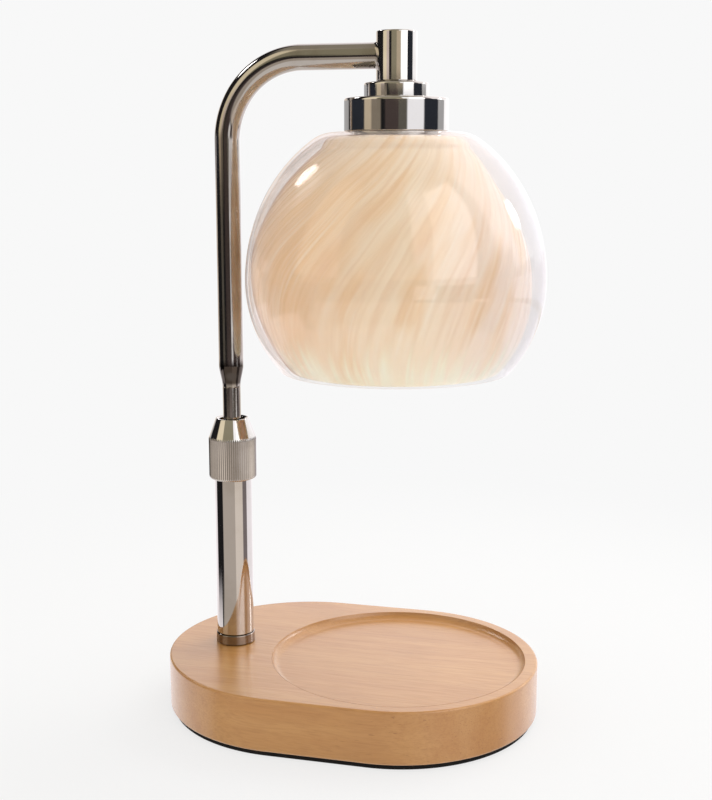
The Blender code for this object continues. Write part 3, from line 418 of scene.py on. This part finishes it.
# Clear casing: see-through face on, reflecting more and more towards its edges, with a milky bloom that
# thickens where the wall is seen edge on, most of all on the side away from the column
def clearGlassFinish(headX):
    tree = newFinish("clearCasing")
    place = tree.place()
    x, y, z = tree.axes(place)
    sideways = (x - headX) * rightward[0] + y * rightward[1]
    ripple = tree.noise(place, scale=18, detail=1)
    normal = tree.bump(ripple, 0.2, 0.6 * mm)
    facing = tree.node("LayerWeight", inputs={"Blend": 0.5, "Normal": normal}, output="Facing")
    fresnel = facing ** 8 * 0.85 + 0.04
    near = tree.step(z, 0.215, 0.250, casing["nearBloom"], casing["crownBloom"])
    far = tree.step(sideways, 0.0, 0.06)
    bloom = facing ** 2.5 * (near + far * (casing["farBloom"] - near)) + ripple * 0.04 + casing["haze"]
    share = (fresnel + bloom).atMost(1.0)
    gloss = tree.shader(**{
        "Base Color": tree.mixed(far * 0.8 + ripple * 0.2, tone(*casing["blush"]), tone(*casing["milk"])),
        "Metallic": fresnel / share, "Roughness": tree.step(ripple, 0.3, 0.7, 0.01, 0.03), "Normal": normal})
    clear = tree.node("BsdfTransparent", inputs={"Color": tone(252)})
    return tree.close(tree.node("MixShader", inputs={0: share, 1: clear, 2: gloss}))


headX, shadeRadius, shadeBottom, shadeTop = span("glass_shade")
finishes["art_glass"] = artGlassFinish(headX * mm)
finishes["clear_glass"] = clearGlassFinish(headX * mm)
print("finishes made:", len(finishes))


# Wooden slab: rays from the middle of the recess. Inside the lip a point lies at the ring's radius; outside
# it, where the ray meets a stadium of the ring's radius: the near end's circle, a straight side or the far
# end's circle
slab = dict(halfLength=90.0, halfWidth=67.0, edge=1.0, rays=480, recess=61.0, depth=3.2, lip=0.25, cove=4.5)
wiring = dict(pocket=17.0, pocketDepth=12, hole=5.3, holeFrom=10, channelEnd=-83, channelHalf=4,
              channelDepth=11.4, beyond=2)


def stadiumReach(angle, radius, centre):
    along, across = np.cos(angle), np.abs(np.sin(angle))
    straight = radius / np.maximum(across, 1e-9)
    far = -2 * centre * along + np.sqrt(np.maximum(radius ** 2 - (2 * centre * across) ** 2, 0))
    return np.where(along >= 0, radius, np.where(straight * along >= -2 * centre, straight, far))


def stadiumRings(rings, centre, rays):
    angle = np.arange(rays) * fullTurn / rays
    rows = []
    for kind, radius, height in rings:
        reach = stadiumReach(angle, radius, centre) if kind == "slab" else np.full(rays, radius)
        x, y = centre + reach * np.cos(angle), reach * np.sin(angle)
        rows.append(np.stack([x, y, np.full(rays, height)], -1))
    return np.array(rows) * mm


# Ring radii and heights round an edge: a quarter circle between a face and a side
def edgeRings(radius, height, turn, side, steps=6):
    angle = np.linspace(0, math.pi / 2, steps + 1)
    inward, upward = 1 - np.sin(angle), np.cos(angle)
    return [("slab", radius - turn * inset, height - side * turn * (1 - rise))
            for inset, rise in zip(inward, upward)]


def carve(made, *cutters):
    for cutter in cutters:
        modifier = made.modifiers.new("carve", "BOOLEAN")
        modifier.operation = "DIFFERENCE"
        modifier.solver = "MANIFOLD"
        modifier.object = cutter
    bpy.context.view_layer.update()
    carved = bpy.data.meshes.new_from_object(made.evaluated_get(bpy.context.evaluated_depsgraph_get()))
    made.modifiers.clear()
    made.data = carved
    carved.name = made.name
    carved.shade_smooth()
    carved.set_sharp_from_angle(angle=math.radians(30.0))
    for cutter in cutters:
        bpy.data.objects.remove(cutter)


def peg(radius, bottom, top, axisX, sides=96):
    outline = np.array([(0, bottom), (radius, bottom), (radius, top), (0, top)]) * mm
    return turned("cutter", outline, axisX * mm, sides, closed=False)


columnX, tubeRadius, tubeBottom, tubeTop = span("lower_tube")


def woodSlab():
    centreX, halfWidth, bottom, top = span("wood_base")
    centre = slab["halfLength"] - slab["halfWidth"]
    floor = top - slab["depth"]
    coveEnd = math.asin(min(slab["depth"] / slab["cove"] - 1, 0))
    coveAngle = np.linspace(-math.pi / 2, coveEnd, 9)
    coveMiddle = slab["recess"] - slab["cove"] * math.cos(coveEnd)
    rings = [("round", 0.0, floor), ("round", coveMiddle - 0.4, floor)]
    rings += [("round", coveMiddle + slab["cove"] * math.cos(a), floor + slab["cove"] * (1 + math.sin(a)))
              for a in coveAngle]
    lipAngle = np.linspace(math.pi, math.pi / 2, 6)
    rings += [("round", slab["recess"] + slab["lip"] * (1 + math.cos(a)),
               top - slab["lip"] * (1 - math.sin(a))) for a in lipAngle]
    rings += [("round", slab["recess"] + slab["lip"] + 0.15, top)]
    rings += [("slab", halfWidth - slab["edge"] - 0.15, top)]
    rings += edgeRings(halfWidth, top, slab["edge"], 1)
    rings += [("slab", halfWidth, top - slab["edge"] - 0.15),
              ("slab", halfWidth, bottom + slab["edge"] + 0.15)]
    rings += edgeRings(halfWidth, bottom, slab["edge"], -1)[::-1]
    rings += [("slab", halfWidth - slab["edge"] - 0.15, bottom), ("round", 0.0, bottom)]
    made = surface("woodSlab", stadiumRings(rings, centre, slab["rays"]))
    end, halfChannel = wiring["channelEnd"], wiring["channelHalf"]
    sides = [(columnX, -halfChannel), (columnX, halfChannel), (end, halfChannel), (end, -halfChannel)]
    middle = [((columnX + end) / 2, 0)] * 4
    low, high = bottom - wiring["beyond"], bottom + wiring["channelDepth"]
    channel = surface("cutter", np.array([
        [(*spot, height) for spot in spots] for spots, height in
        ((middle, low), (sides, low), (sides, high), (middle, high))]) * mm)
    pocket = peg(wiring["pocket"], low, bottom + wiring["pocketDepth"], columnX)
    hole = peg(wiring["hole"], bottom + wiring["holeFrom"], top + wiring["beyond"], columnX, 48)
    carve(made, pocket, channel, hole)
    return made


dress(woodSlab(), "base", "beech", finishes["beech"], "wood_base")


def footPad():
    centreX, halfWidth, bottom, top = span("base_pad")
    centre = slab["halfLength"] - slab["halfWidth"]
    rings = [("round", 0.0, top), ("slab", halfWidth - 0.5, top)] + edgeRings(halfWidth, top, 0.35, 1, 3)
    rings += edgeRings(halfWidth, bottom, 0.35, -1, 3)[::-1]
    rings += [("slab", halfWidth - 0.5, bottom), ("round", 0.0, bottom)]
    return surface("footPad", stadiumRings(rings, centre, slab["rays"]))


dress(footPad(), "base", "pad_foam", finishes["pad_foam"], "base_pad")
print("base made")


# Column
def footRing():
    centreX, radius, bottom, top = span("foot_ring")
    outline = rounded([(5.3, bottom, 0.2), (radius, bottom, 0.3), (radius, top, 0.5), (5.3, top, 0.2)])
    return turned("footRing", outline, centreX * mm)


def lowerTube():
    outline = rounded([(8.0, tubeBottom, 0.1), (tubeRadius, tubeBottom, 0.25), (tubeRadius, tubeTop, 0.25),
                       (8.0, tubeTop, 0.1)])
    return turned("lowerTube", outline, columnX * mm)


nut = dict(ridges=66, pointsPerRidge=8, depth=0.42, barrel=11.5, barrelHeight=20.9, rim=7.85, mouth=6.2,
           foot=1.5)


# Knurled nut: the turned body is cut back to the knurl wherever the knurl lies deeper, so that the ridges run
# out in small scallops on the cone and on the rounded foot
def lockNut():
    centreX, radius, bottom, top = span("lock_nut")
    barrelTop = bottom + nut["barrelHeight"]
    slope = (nut["barrel"] - nut["depth"] - nut["rim"]) / (top - 0.35 - barrelTop)
    coneStart = barrelTop - nut["depth"] / slope
    edge = rounded([(9.3, bottom, 0.15), (nut["barrel"] + 0.02, bottom, nut["foot"]),
                    (nut["barrel"] + 0.02, coneStart, 0), (nut["rim"], top - 0.1, 0.35),
                    (nut["rim"] - 0.5, top, 0.15),
                    (nut["mouth"], top - 0.6, 0.1), (nut["mouth"], 136.3, 0), (9.3, 127.6, 0)], steps=8)
    # More rows where the ridges run out
    lowRows = np.linspace(bottom + nut["foot"] + 0.2, coneStart - 0.05, 6)
    runOut = np.linspace(coneStart, barrelTop + 0.35, 14)
    body = [(nut["barrel"] + 0.02, height) for height in lowRows]
    body += [(nut["barrel"] + 0.02 - slope * (height - coneStart), height) for height in runOut]
    edge = edge / mm
    first = np.argmax(edge[:, 1] > bottom + nut["foot"] + 0.05)
    last = np.argmax(edge[:, 1] >= coneStart - 0.01)
    outline = np.vstack([edge[:first], body, edge[last + 1:]]) * mm

    def knurl(angle, reach, height):
        ridge = (0.5 + 0.5 * np.cos(angle * nut["ridges"])) ** 0.8
        crest = (nut["barrel"] - nut["depth"] * (1 - ridge)) * mm
        outer = reach > (nut["rim"] + 0.5) * mm
        outer &= height < (barrelTop + 0.4) * mm
        outer &= reach > 9.4 * mm
        return np.where(outer, np.minimum(reach, crest), reach)

    return turned("lockNut", outline, centreX * mm, nut["ridges"] * nut["pointsPerRidge"], True, knurl, 38.0)


rod = dict(radius=4.3, spigot=3.3, bore=2.2, groove=2.9)


def slideRod():
    centreX, radius, bottom, top = span("slide_rod")
    shoulder, nose = 63.3, top - 6.3
    outline = rounded([
        (rod["bore"], bottom, 0.1), (rod["spigot"], bottom, 0.2), (rod["spigot"], bottom + 0.7, 0),
        (rod["groove"], bottom + 0.7, 0), (rod["groove"], bottom + 2.1, 0), (rod["spigot"], bottom + 2.1, 0),
        (rod["spigot"], shoulder, 0), (rod["radius"], shoulder, 0.2), (rod["radius"], nose, 0.1),
        (rod["spigot"], nose, 0), (rod["spigot"], top, 0.2), (rod["bore"], top, 0.1)], steps=4)
    return turned("slideRod", outline, centreX * mm, 128)


dress(footRing(), "base", "polished_nickel", shadedFootNickel, "foot_ring")
dress(lowerTube(), "base", "polished_nickel", finishes["polished_nickel"], "lower_tube")
dress(lockNut(), "lock_nut", "polished_nickel", finishes["polished_nickel"], "lock_nut")
dress(slideRod(), "arm", "dark_nickel", finishes["dark_nickel"], "slide_rod")
print("column made")

arm = dict(radius=5.85, wall=0.8, nose=4.3, noseBore=3.6, swage=10.5, bend=37.0, collar=0.4, collarReach=1.3,
           sides=128)


# Bent arm: rings of a circle square to a path that runs up, round a quarter bend and level to the hub. The last
# rings stop at equal distances from the hub's round side and swell into a small collar
def armTube():
    low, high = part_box("arm_tube")
    hubX, hubRadius, hubBottom, hubTop = span("head_hub")
    start, height = low.z / mm, high.z / mm - arm["radius"]
    t = np.linspace(0, 1, 25)
    bore = arm["radius"] - arm["wall"]
    rise = np.concatenate([start + arm["swage"] * t, np.linspace(start + 14, height - arm["bend"], 8)])
    outer = np.full(len(rise), arm["radius"])
    inner = np.full(len(rise), bore)
    outer[:25] = arm["nose"] + (arm["radius"] - arm["nose"]) * ease(t)
    inner[:25] = arm["noseBore"] + (bore - arm["noseBore"]) * ease(t)
    lean = np.concatenate([np.zeros(len(rise)), np.linspace(0, math.pi / 2, 65)[1:]])
    outer = np.concatenate([outer, np.full(64, arm["radius"])])
    inner = np.concatenate([inner, np.full(64, bore)])
    centreX = columnX + arm["bend"] * (1 - np.cos(lean))
    centreZ = np.concatenate([rise, height - arm["bend"] + arm["bend"] * np.sin(lean[len(rise):])])
    angle = np.arange(arm["sides"]) * fullTurn / arm["sides"]

    def rings(radius):
        out = radius[:, None] * np.cos(angle)[None]
        return np.stack([centreX[:, None] + out * np.cos(lean)[:, None],
                         radius[:, None] * np.sin(angle)[None],
                         centreZ[:, None] - out * np.sin(lean)[:, None]], -1)

    # Level run: x goes from the bend's end to the hub's side, which depends on how far out the point is
    def levelRings(radius, back):
        radius, back = np.array(radius)[:, None], np.array(back)[:, None]
        side = radius * np.sin(angle)[None]
        hubSide = hubX - np.sqrt(hubRadius ** 2 - side ** 2)
        bendEnd = columnX + arm["bend"]
        x = np.where(back > 5, bendEnd + (hubX - hubRadius - bendEnd) * (1 - back / 100), hubSide - back)
        return np.stack([x, side, height - radius * np.cos(angle)[None]], -1)

    near = np.linspace(arm["collarReach"], 0, 9)
    swell = arm["radius"] + arm["collar"] * (1 - near / arm["collarReach"]) ** 2
    level = levelRings([arm["radius"]] * 4 + list(swell) + [arm["radius"]],
                       [80, 50, 25, 2.2] + list(near) + [-1.2])
    outside = np.concatenate([rings(outer), level])
    insideLevel = levelRings([bore] * 4, [80, 40, 2.0, -1.2])
    inside = np.concatenate([rings(inner), insideLevel])
    return surface("armTube", np.concatenate([outside, inside[::-1]]) * mm, roundRows=True)


dress(armTube(), "arm", "dark_nickel", finishes["dark_nickel"], "arm_tube")


# Head
def headHub():
    centreX, radius, bottom, top = span("head_hub")
    outline = rounded([(0, top, 0), (radius, top, 0.7), (radius, bottom, 0.6), (5.3, bottom, 0.2),
                       (5.3, top - 5, 0.2), (0, top - 5, 0)], closed=False)
    return turned("headHub", outline, centreX * mm, closed=False)


def spacerDisc():
    centreX, radius, bottom, top = span("spacer_disc")
    outline = rounded([(5.3, bottom, 0.2), (radius, bottom, 0.35), (radius, top, 1.0), (5.3, top, 0.2)])
    return turned("spacerDisc", outline, centreX * mm)


def shadeCup():
    centreX, radius, bottom, top = span("shade_cup")
    wall = 1.2
    outline = rounded([(radius - wall, bottom, 0.25), (radius, bottom, 0.35), (radius, top, 1.3),
                       (5.3, top, 0.2), (5.3, top - wall, 0.2), (radius - wall, top - wall, 1.0)])
    return turned("shadeCup", outline, centreX * mm)


dress(headHub(), "arm", "polished_nickel", finishes["polished_nickel"], "head_hub")
dress(spacerDisc(), "arm", "polished_nickel", finishes["polished_nickel"], "spacer_disc")
dress(shadeCup(), "arm", "polished_nickel", finishes["polished_nickel"], "shade_cup")
print("arm and head made")


# Shade. Clear casing: two quarter ellipses that meet at the waist, a rounded shoulder and a flat crown, one even
# wall. Coloured liner: the globe less a gap that widens above the waist, down to a straight neck; its rings
# lean towards the column, eased in from the foot and out again under the crown
waist, fall, crownCorner = 209.0, 65.0, 32.86
crownRise = (shadeTop - waist) / math.sqrt(1 - (crownCorner / shadeRadius) ** 2)
linerCrown = shadeTop - shade["casingWall"] - shade["seat"]
crownInside = linerCrown - shade["linerWall"]
neckRadius = crownCorner - shade["neckInset"]


def globeRadius(height, wall=0.0):
    reach = np.where(height > waist, crownRise, fall) - wall
    return (shadeRadius - wall) * np.sqrt(np.clip(1 - ((height - waist) / reach) ** 2, 0, 1))


def linerRadius(height):
    drawnIn = ease((height - waist - shade["drawStart"]) / shade["drawLength"])
    gap = shade["gap"] + (shade["shoulderGap"] - shade["gap"]) * drawnIn
    return np.maximum(globeRadius(height) - gap, neckRadius)


def linerLean(height):
    room = shade["gap"] - shade["casingWall"] - shade["seat"]
    away = ease((height - crownInside + shade["leanFall"]) / shade["leanFall"])
    return shade["leanShare"] * room * ease((height - shadeBottom) / shade["leanRise"]) * (1 - away)


# Heights spaced evenly along the two ellipses
def shadeHeights(bottom, top, count, wall=0.0):
    low = -math.asin((waist - bottom) / (fall - wall))
    high = math.asin((top - waist) / (crownRise - wall))
    turn = np.linspace(low, high, count)
    return waist + np.where(turn > 0, crownRise - wall, fall - wall) * np.sin(turn)


def shadeRings(rows, leans, sides=256):
    angle = (np.arange(sides) * fullTurn / sides)[None]
    x = headX - leans[:, None] + rows[:, :1] * np.cos(angle)
    return np.stack([x, rows[:, :1] * np.sin(angle), np.repeat(rows[:, 1:], sides, 1)], -1) * mm


def bezier(start, corner, end, steps):
    t = np.linspace(0, 1, steps + 1)[:, None]
    return (1 - t) ** 2 * np.array(start) + 2 * t * (1 - t) * np.array(corner) + t ** 2 * np.array(end)


def linerRun(wall, count=90):
    heights = shadeHeights(shadeBottom + shade["footLift"] + 0.5, linerCrown - shade["round"], count)
    side = np.stack([linerRadius(heights) - wall, heights], -1)
    crown = linerCrown - wall
    shoulder = bezier(side[-1], (neckRadius - wall, crown), (neckRadius - shade["round"], crown), 12)[1:]
    return np.vstack([side, shoulder, [(shade["hole"], crown)]])


def shadeLiner():
    outer, inner = linerRun(0.0), linerRun(shade["linerWall"])
    middle = (inner[0, 0] + outer[0, 0]) / 2 - 0.3
    foot = bezier(inner[0], (middle, shadeBottom + shade["footLift"] - 0.4), outer[0], 6)
    rows = np.vstack([foot[1:-1], outer, inner[::-1]])
    return surface("shadeLiner", shadeRings(rows, linerLean(rows[:, 1])), roundRows=True, sharp=50.0)


def casingRun(wall, lift, count=100):
    crown = shadeTop - wall
    heights = shadeHeights(shadeBottom + lift, crown - shade["round"] / 2, count, wall)
    side = np.stack([globeRadius(heights, wall), heights], -1)
    corner = (shadeRadius - wall) * math.sqrt(1 - ((crown - waist) / (crownRise - wall)) ** 2)
    shoulder = bezier(side[-1], (corner, crown), (corner - shade["round"], crown), 12)[1:]
    return np.vstack([side, shoulder, [(shade["hole"], crown)]])


def shadeCasing():
    outer, inner = casingRun(0.0, 0.55), casingRun(shade["casingWall"], 0.55)
    middle = (inner[0, 0] + outer[0, 0]) / 2 - 0.45
    foot = np.vstack([bezier(inner[0], (inner[0, 0] - 0.4, shadeBottom), (middle, shadeBottom), 4)[1:],
                      bezier((middle, shadeBottom), (outer[0, 0] - 0.4, shadeBottom), outer[0], 4)[1:-1]])
    rows = np.vstack([foot, outer, inner[::-1]])
    return surface("shadeCasing", shadeRings(rows, np.zeros(len(rows))), roundRows=True, sharp=50.0)


dress(shadeLiner(), "arm", "art_glass", finishes["art_glass"], "shade_liner")
dress(shadeCasing(), "arm", "clear_glass", finishes["clear_glass"], "glass_shade")
print("shade made")

# CAD nodes that stay get the finish of their slot
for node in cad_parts.values():
    if not node.hide_render:
        for each in node.material_slots:
            each.material = finishes[each.material.name.split(".")[0]]
print("carried-over nodes finished")

# Studio. Glossy rays see strips of card and cloth round the object, in bands of height; each strip is
# (from, to, tone) in degrees round, with 0 at the camera and the right positive
cards = dict(
    white=(246, 246, 248), sheet=(228, 228, 231), pale=(226, 221, 224), blush=(234, 229, 229),
    cream=(218, 206, 178), rose=(196, 182, 174), linen=(200, 190, 180), stone=(163, 154, 145),
    tan=(176, 162, 140), olive=(134, 128, 108), khaki=(120, 111, 98), umber=(64, 55, 53), moss=(84, 81, 74),
    slate=(112, 104, 104), ink=(38, 41, 48), black=(27, 26, 27), grey=(156, 156, 157))
levelStrips = [(-180, -131, "grey"), (-131, -123, "black"), (-123, -117, "pale"), (-117, -76, "ink"),
               (-76, -58, "tan"), (-58, -36, "khaki"), (-36, -26, "black"), (-26, 3, "umber"),
               (3, 22, "moss"), (22, 61, "sheet"), (61, 102, "ink"), (102, 127, "grey"), (127, 180, "white")]
hubStrips = [(-180, -140, "linen"), (-140, -83, "black"), (-83, -60, "cream"), (-60, -45, "rose"),
             (-45, -31, "black"), (-31, -2, "olive"), (-2, 21, "tan"), (21, 59, "white"), (59, 100, "ink"),
             (100, 180, "white")]
armStrips = [(-180, -124, "linen"), (-124, -72, "black"), (-72, -50, "moss"), (-50, -30, "black"),
             (-30, 12, "umber"), (12, 28, "sheet"), (28, 98, "umber"), (98, 180, "pale")]
rodStrips = [(-180, -124, "linen"), (-124, -60, "black"), (-60, -20, "umber"), (-20, 10, "slate"),
             (10, 58, "black"), (58, 74, "sheet"), (74, 125, "umber"), (125, 180, "linen")]
lowStrips = [(-180, -119, "pale"), (-119, -65, "black"), (-65, 14, "stone"), (14, 64, "linen"),
             (64, 95, "slate"), (95, 180, "pale")]
footStrips = [(-180, -82, "pale"), (-82, -73, "black"), (-73, 14, "stone"), (14, 64, "linen"),
              (64, 95, "slate"), (95, 180, "pale")]
highStrips = [(-180, -162, "pale"), (-162, -82, "black"), (-82, -47, "cream"), (-47, 12, "olive"),
              (12, 57, "white"), (57, 84, "slate"), (84, 180, "blush")]
studio = dict(strength=1.6, window=0.8, spotStrength=12.0, backdrop=248, softLow=0.96, softHigh=1.04,
              keyPower=7.6)


def strips(tree, turn, rows, soft=1.5):
    stops = []
    for start, end, name in rows:
        first = start if start == -180 else start + soft
        last = end if end == 180 else end - soft
        stops += [((first + 180) / 360, tone(*cards[name])), ((last + 180) / 360, tone(*cards[name]))]
    return tree.node("ValToRGB", {"stops": stops}, {"Fac": turn})


def studioWorld():
    world = bpy.data.worlds.new("studio")
    bpy.context.scene.world = world
    tree = Tree(world)
    x, y, z = tree.axes(tree.node("TexCoord", output="Generated"))
    right = x * rightward[0] + y * rightward[1]
    front = x * rightward[1] - y * rightward[0]
    turn = tree.node("Math", {"operation": "ARCTAN2"}, {0: right, 1: front}) / fullTurn + 0.5
    rise = tree.node("Math", {"operation": "ARCSINE"}, {0: z}) * (180 / math.pi)
    colour = tree.mixed(tree.step(rise, -34, -28), tone(202, 198, 194), strips(tree, turn, footStrips))
    for first, full, rows in ((-20.4, -17.6, lowStrips), (-12.2, -11.4, rodStrips), (-9.7, -9.2, armStrips),
                              (-1.0, 0.0, levelStrips), (3.25, 3.4, hubStrips), (9, 18, highStrips)):
        colour = tree.mixed(tree.step(rise, first, full), colour, strips(tree, turn, rows))
    colour = tree.mixed(tree.step(rise, 50, 66), colour, tone(140, 133, 120))
    azimuth = turn * 360 - 180

    # A patch is 1 inside and 0 outside; its sides may slope with the height
    def spot(middle, height, halfTurn, halfRise):
        sideways = (azimuth - middle) / halfTurn
        upward = (rise - height) / halfRise
        return tree.step(sideways * sideways + upward * upward, 1.15, 0.75)

    leftSide = tree.step(azimuth - rise * 0.14, 24, 26)
    rightSide = tree.step(azimuth - (rise - 5).atLeast(0.0).atMost(35.0) * 0.3, 62, 60)
    window = leftSide * rightSide * tree.step(rise, 2.9, 3.5) * tree.step(rise, 59, 56)
    spots = (spot(-124.5, 37.5, 5.0, 6.5) + spot(117.5, 20.0, 4.0, 6.0)).atMost(1.0)
    colour = tree.mixed((spots + window).atMost(1.0), colour, tone(255))
    strength = spots * studio["spotStrength"] + window * studio["window"] + studio["strength"]
    around = tree.node("Background", inputs={"Color": colour, "Strength": strength})
    softer = tree.step(z, -0.3, 0.9, studio["softLow"], studio["softHigh"])
    soft = tree.node("Background", inputs={"Color": tone(255, 253, 250), "Strength": softer})
    backdrop = tree.node("Background", inputs={"Color": tone(studio["backdrop"]), "Strength": 1.0})
    seen = tree.node("LightPath", output="Is Camera Ray").atLeast(
        tree.node("LightPath", output="Is Transmission Ray"))
    lit = tree.node("MixShader", inputs={0: tree.node("LightPath", output="Is Glossy Ray"), 1: soft, 2: around})
    tree.close(tree.node("MixShader", inputs={0: seen, 1: lit, 2: backdrop}))


# Floor: holds back most of its own shade from the camera, so that it stays white with a faint shadow
def paleFloor():
    reach = 6.0
    mesh = bpy.data.meshes.new("floor")
    mesh.from_pydata([(-reach, -reach, 0), (reach, -reach, 0), (reach, reach, 0), (-reach, reach, 0)], [],
                     [(0, 1, 2, 3)])
    floor = bpy.data.objects.new("floor", mesh)
    floor.location.z = -0.05 * mm
    bpy.context.scene.collection.objects.link(floor)
    tree = newFinish("floorPaper")
    x, y, z = tree.axes(tree.place())
    away = tree.step((x * x + y * y) ** 0.5, 0.16, 0.5, 0.78, 1.0)
    camera = tree.node("LightPath", output="Is Camera Ray")
    seen = tree.mixed(camera, tone(248), tone(224))
    paper = tree.shader(**{"Base Color": seen, "Roughness": 0.9, "Specular IOR Level": 0.0})
    glow = tree.node("Emission", inputs={"Color": tone(studio["backdrop"]), "Strength": 1.0})
    mesh.materials.append(tree.close(tree.node("MixShader", inputs={0: camera * away, 1: paper, 2: glow})))
    floor.visible_glossy = False


def keyLight():
    light = bpy.data.lights.new("key", "AREA")
    light.shape = "DISK"
    light.size = 0.9
    light.energy = studio["keyPower"]
    light.color = (1.0, 0.99, 0.97)
    lamp = bpy.data.objects.new("key", light)
    lamp.location = (0.45, 0.50, 0.95)
    lamp.rotation_euler = (math.radians(-35), 0, math.radians(-42))
    lamp.visible_glossy = False
    bpy.context.scene.collection.objects.link(lamp)


studioWorld()
paleFloor()
keyLight()
print("studio made")

view = dict(place=(0.153046, -0.58202, 0.26247), pitch=10.3907, heading=14.5515, lens=58.3568)
cameraData = bpy.data.cameras.new("camera")
cameraData.sensor_width = 36.0
cameraData.lens = view["lens"]
camera = bpy.data.objects.new("camera", cameraData)
camera.location = view["place"]
camera.rotation_euler = (math.radians(90 - view["pitch"]), 0, math.radians(view["heading"]))
bpy.context.scene.collection.objects.link(camera)
bpy.context.scene.camera = camera
bpy.context.scene.view_settings.view_transform = "Standard"

print("scene made")
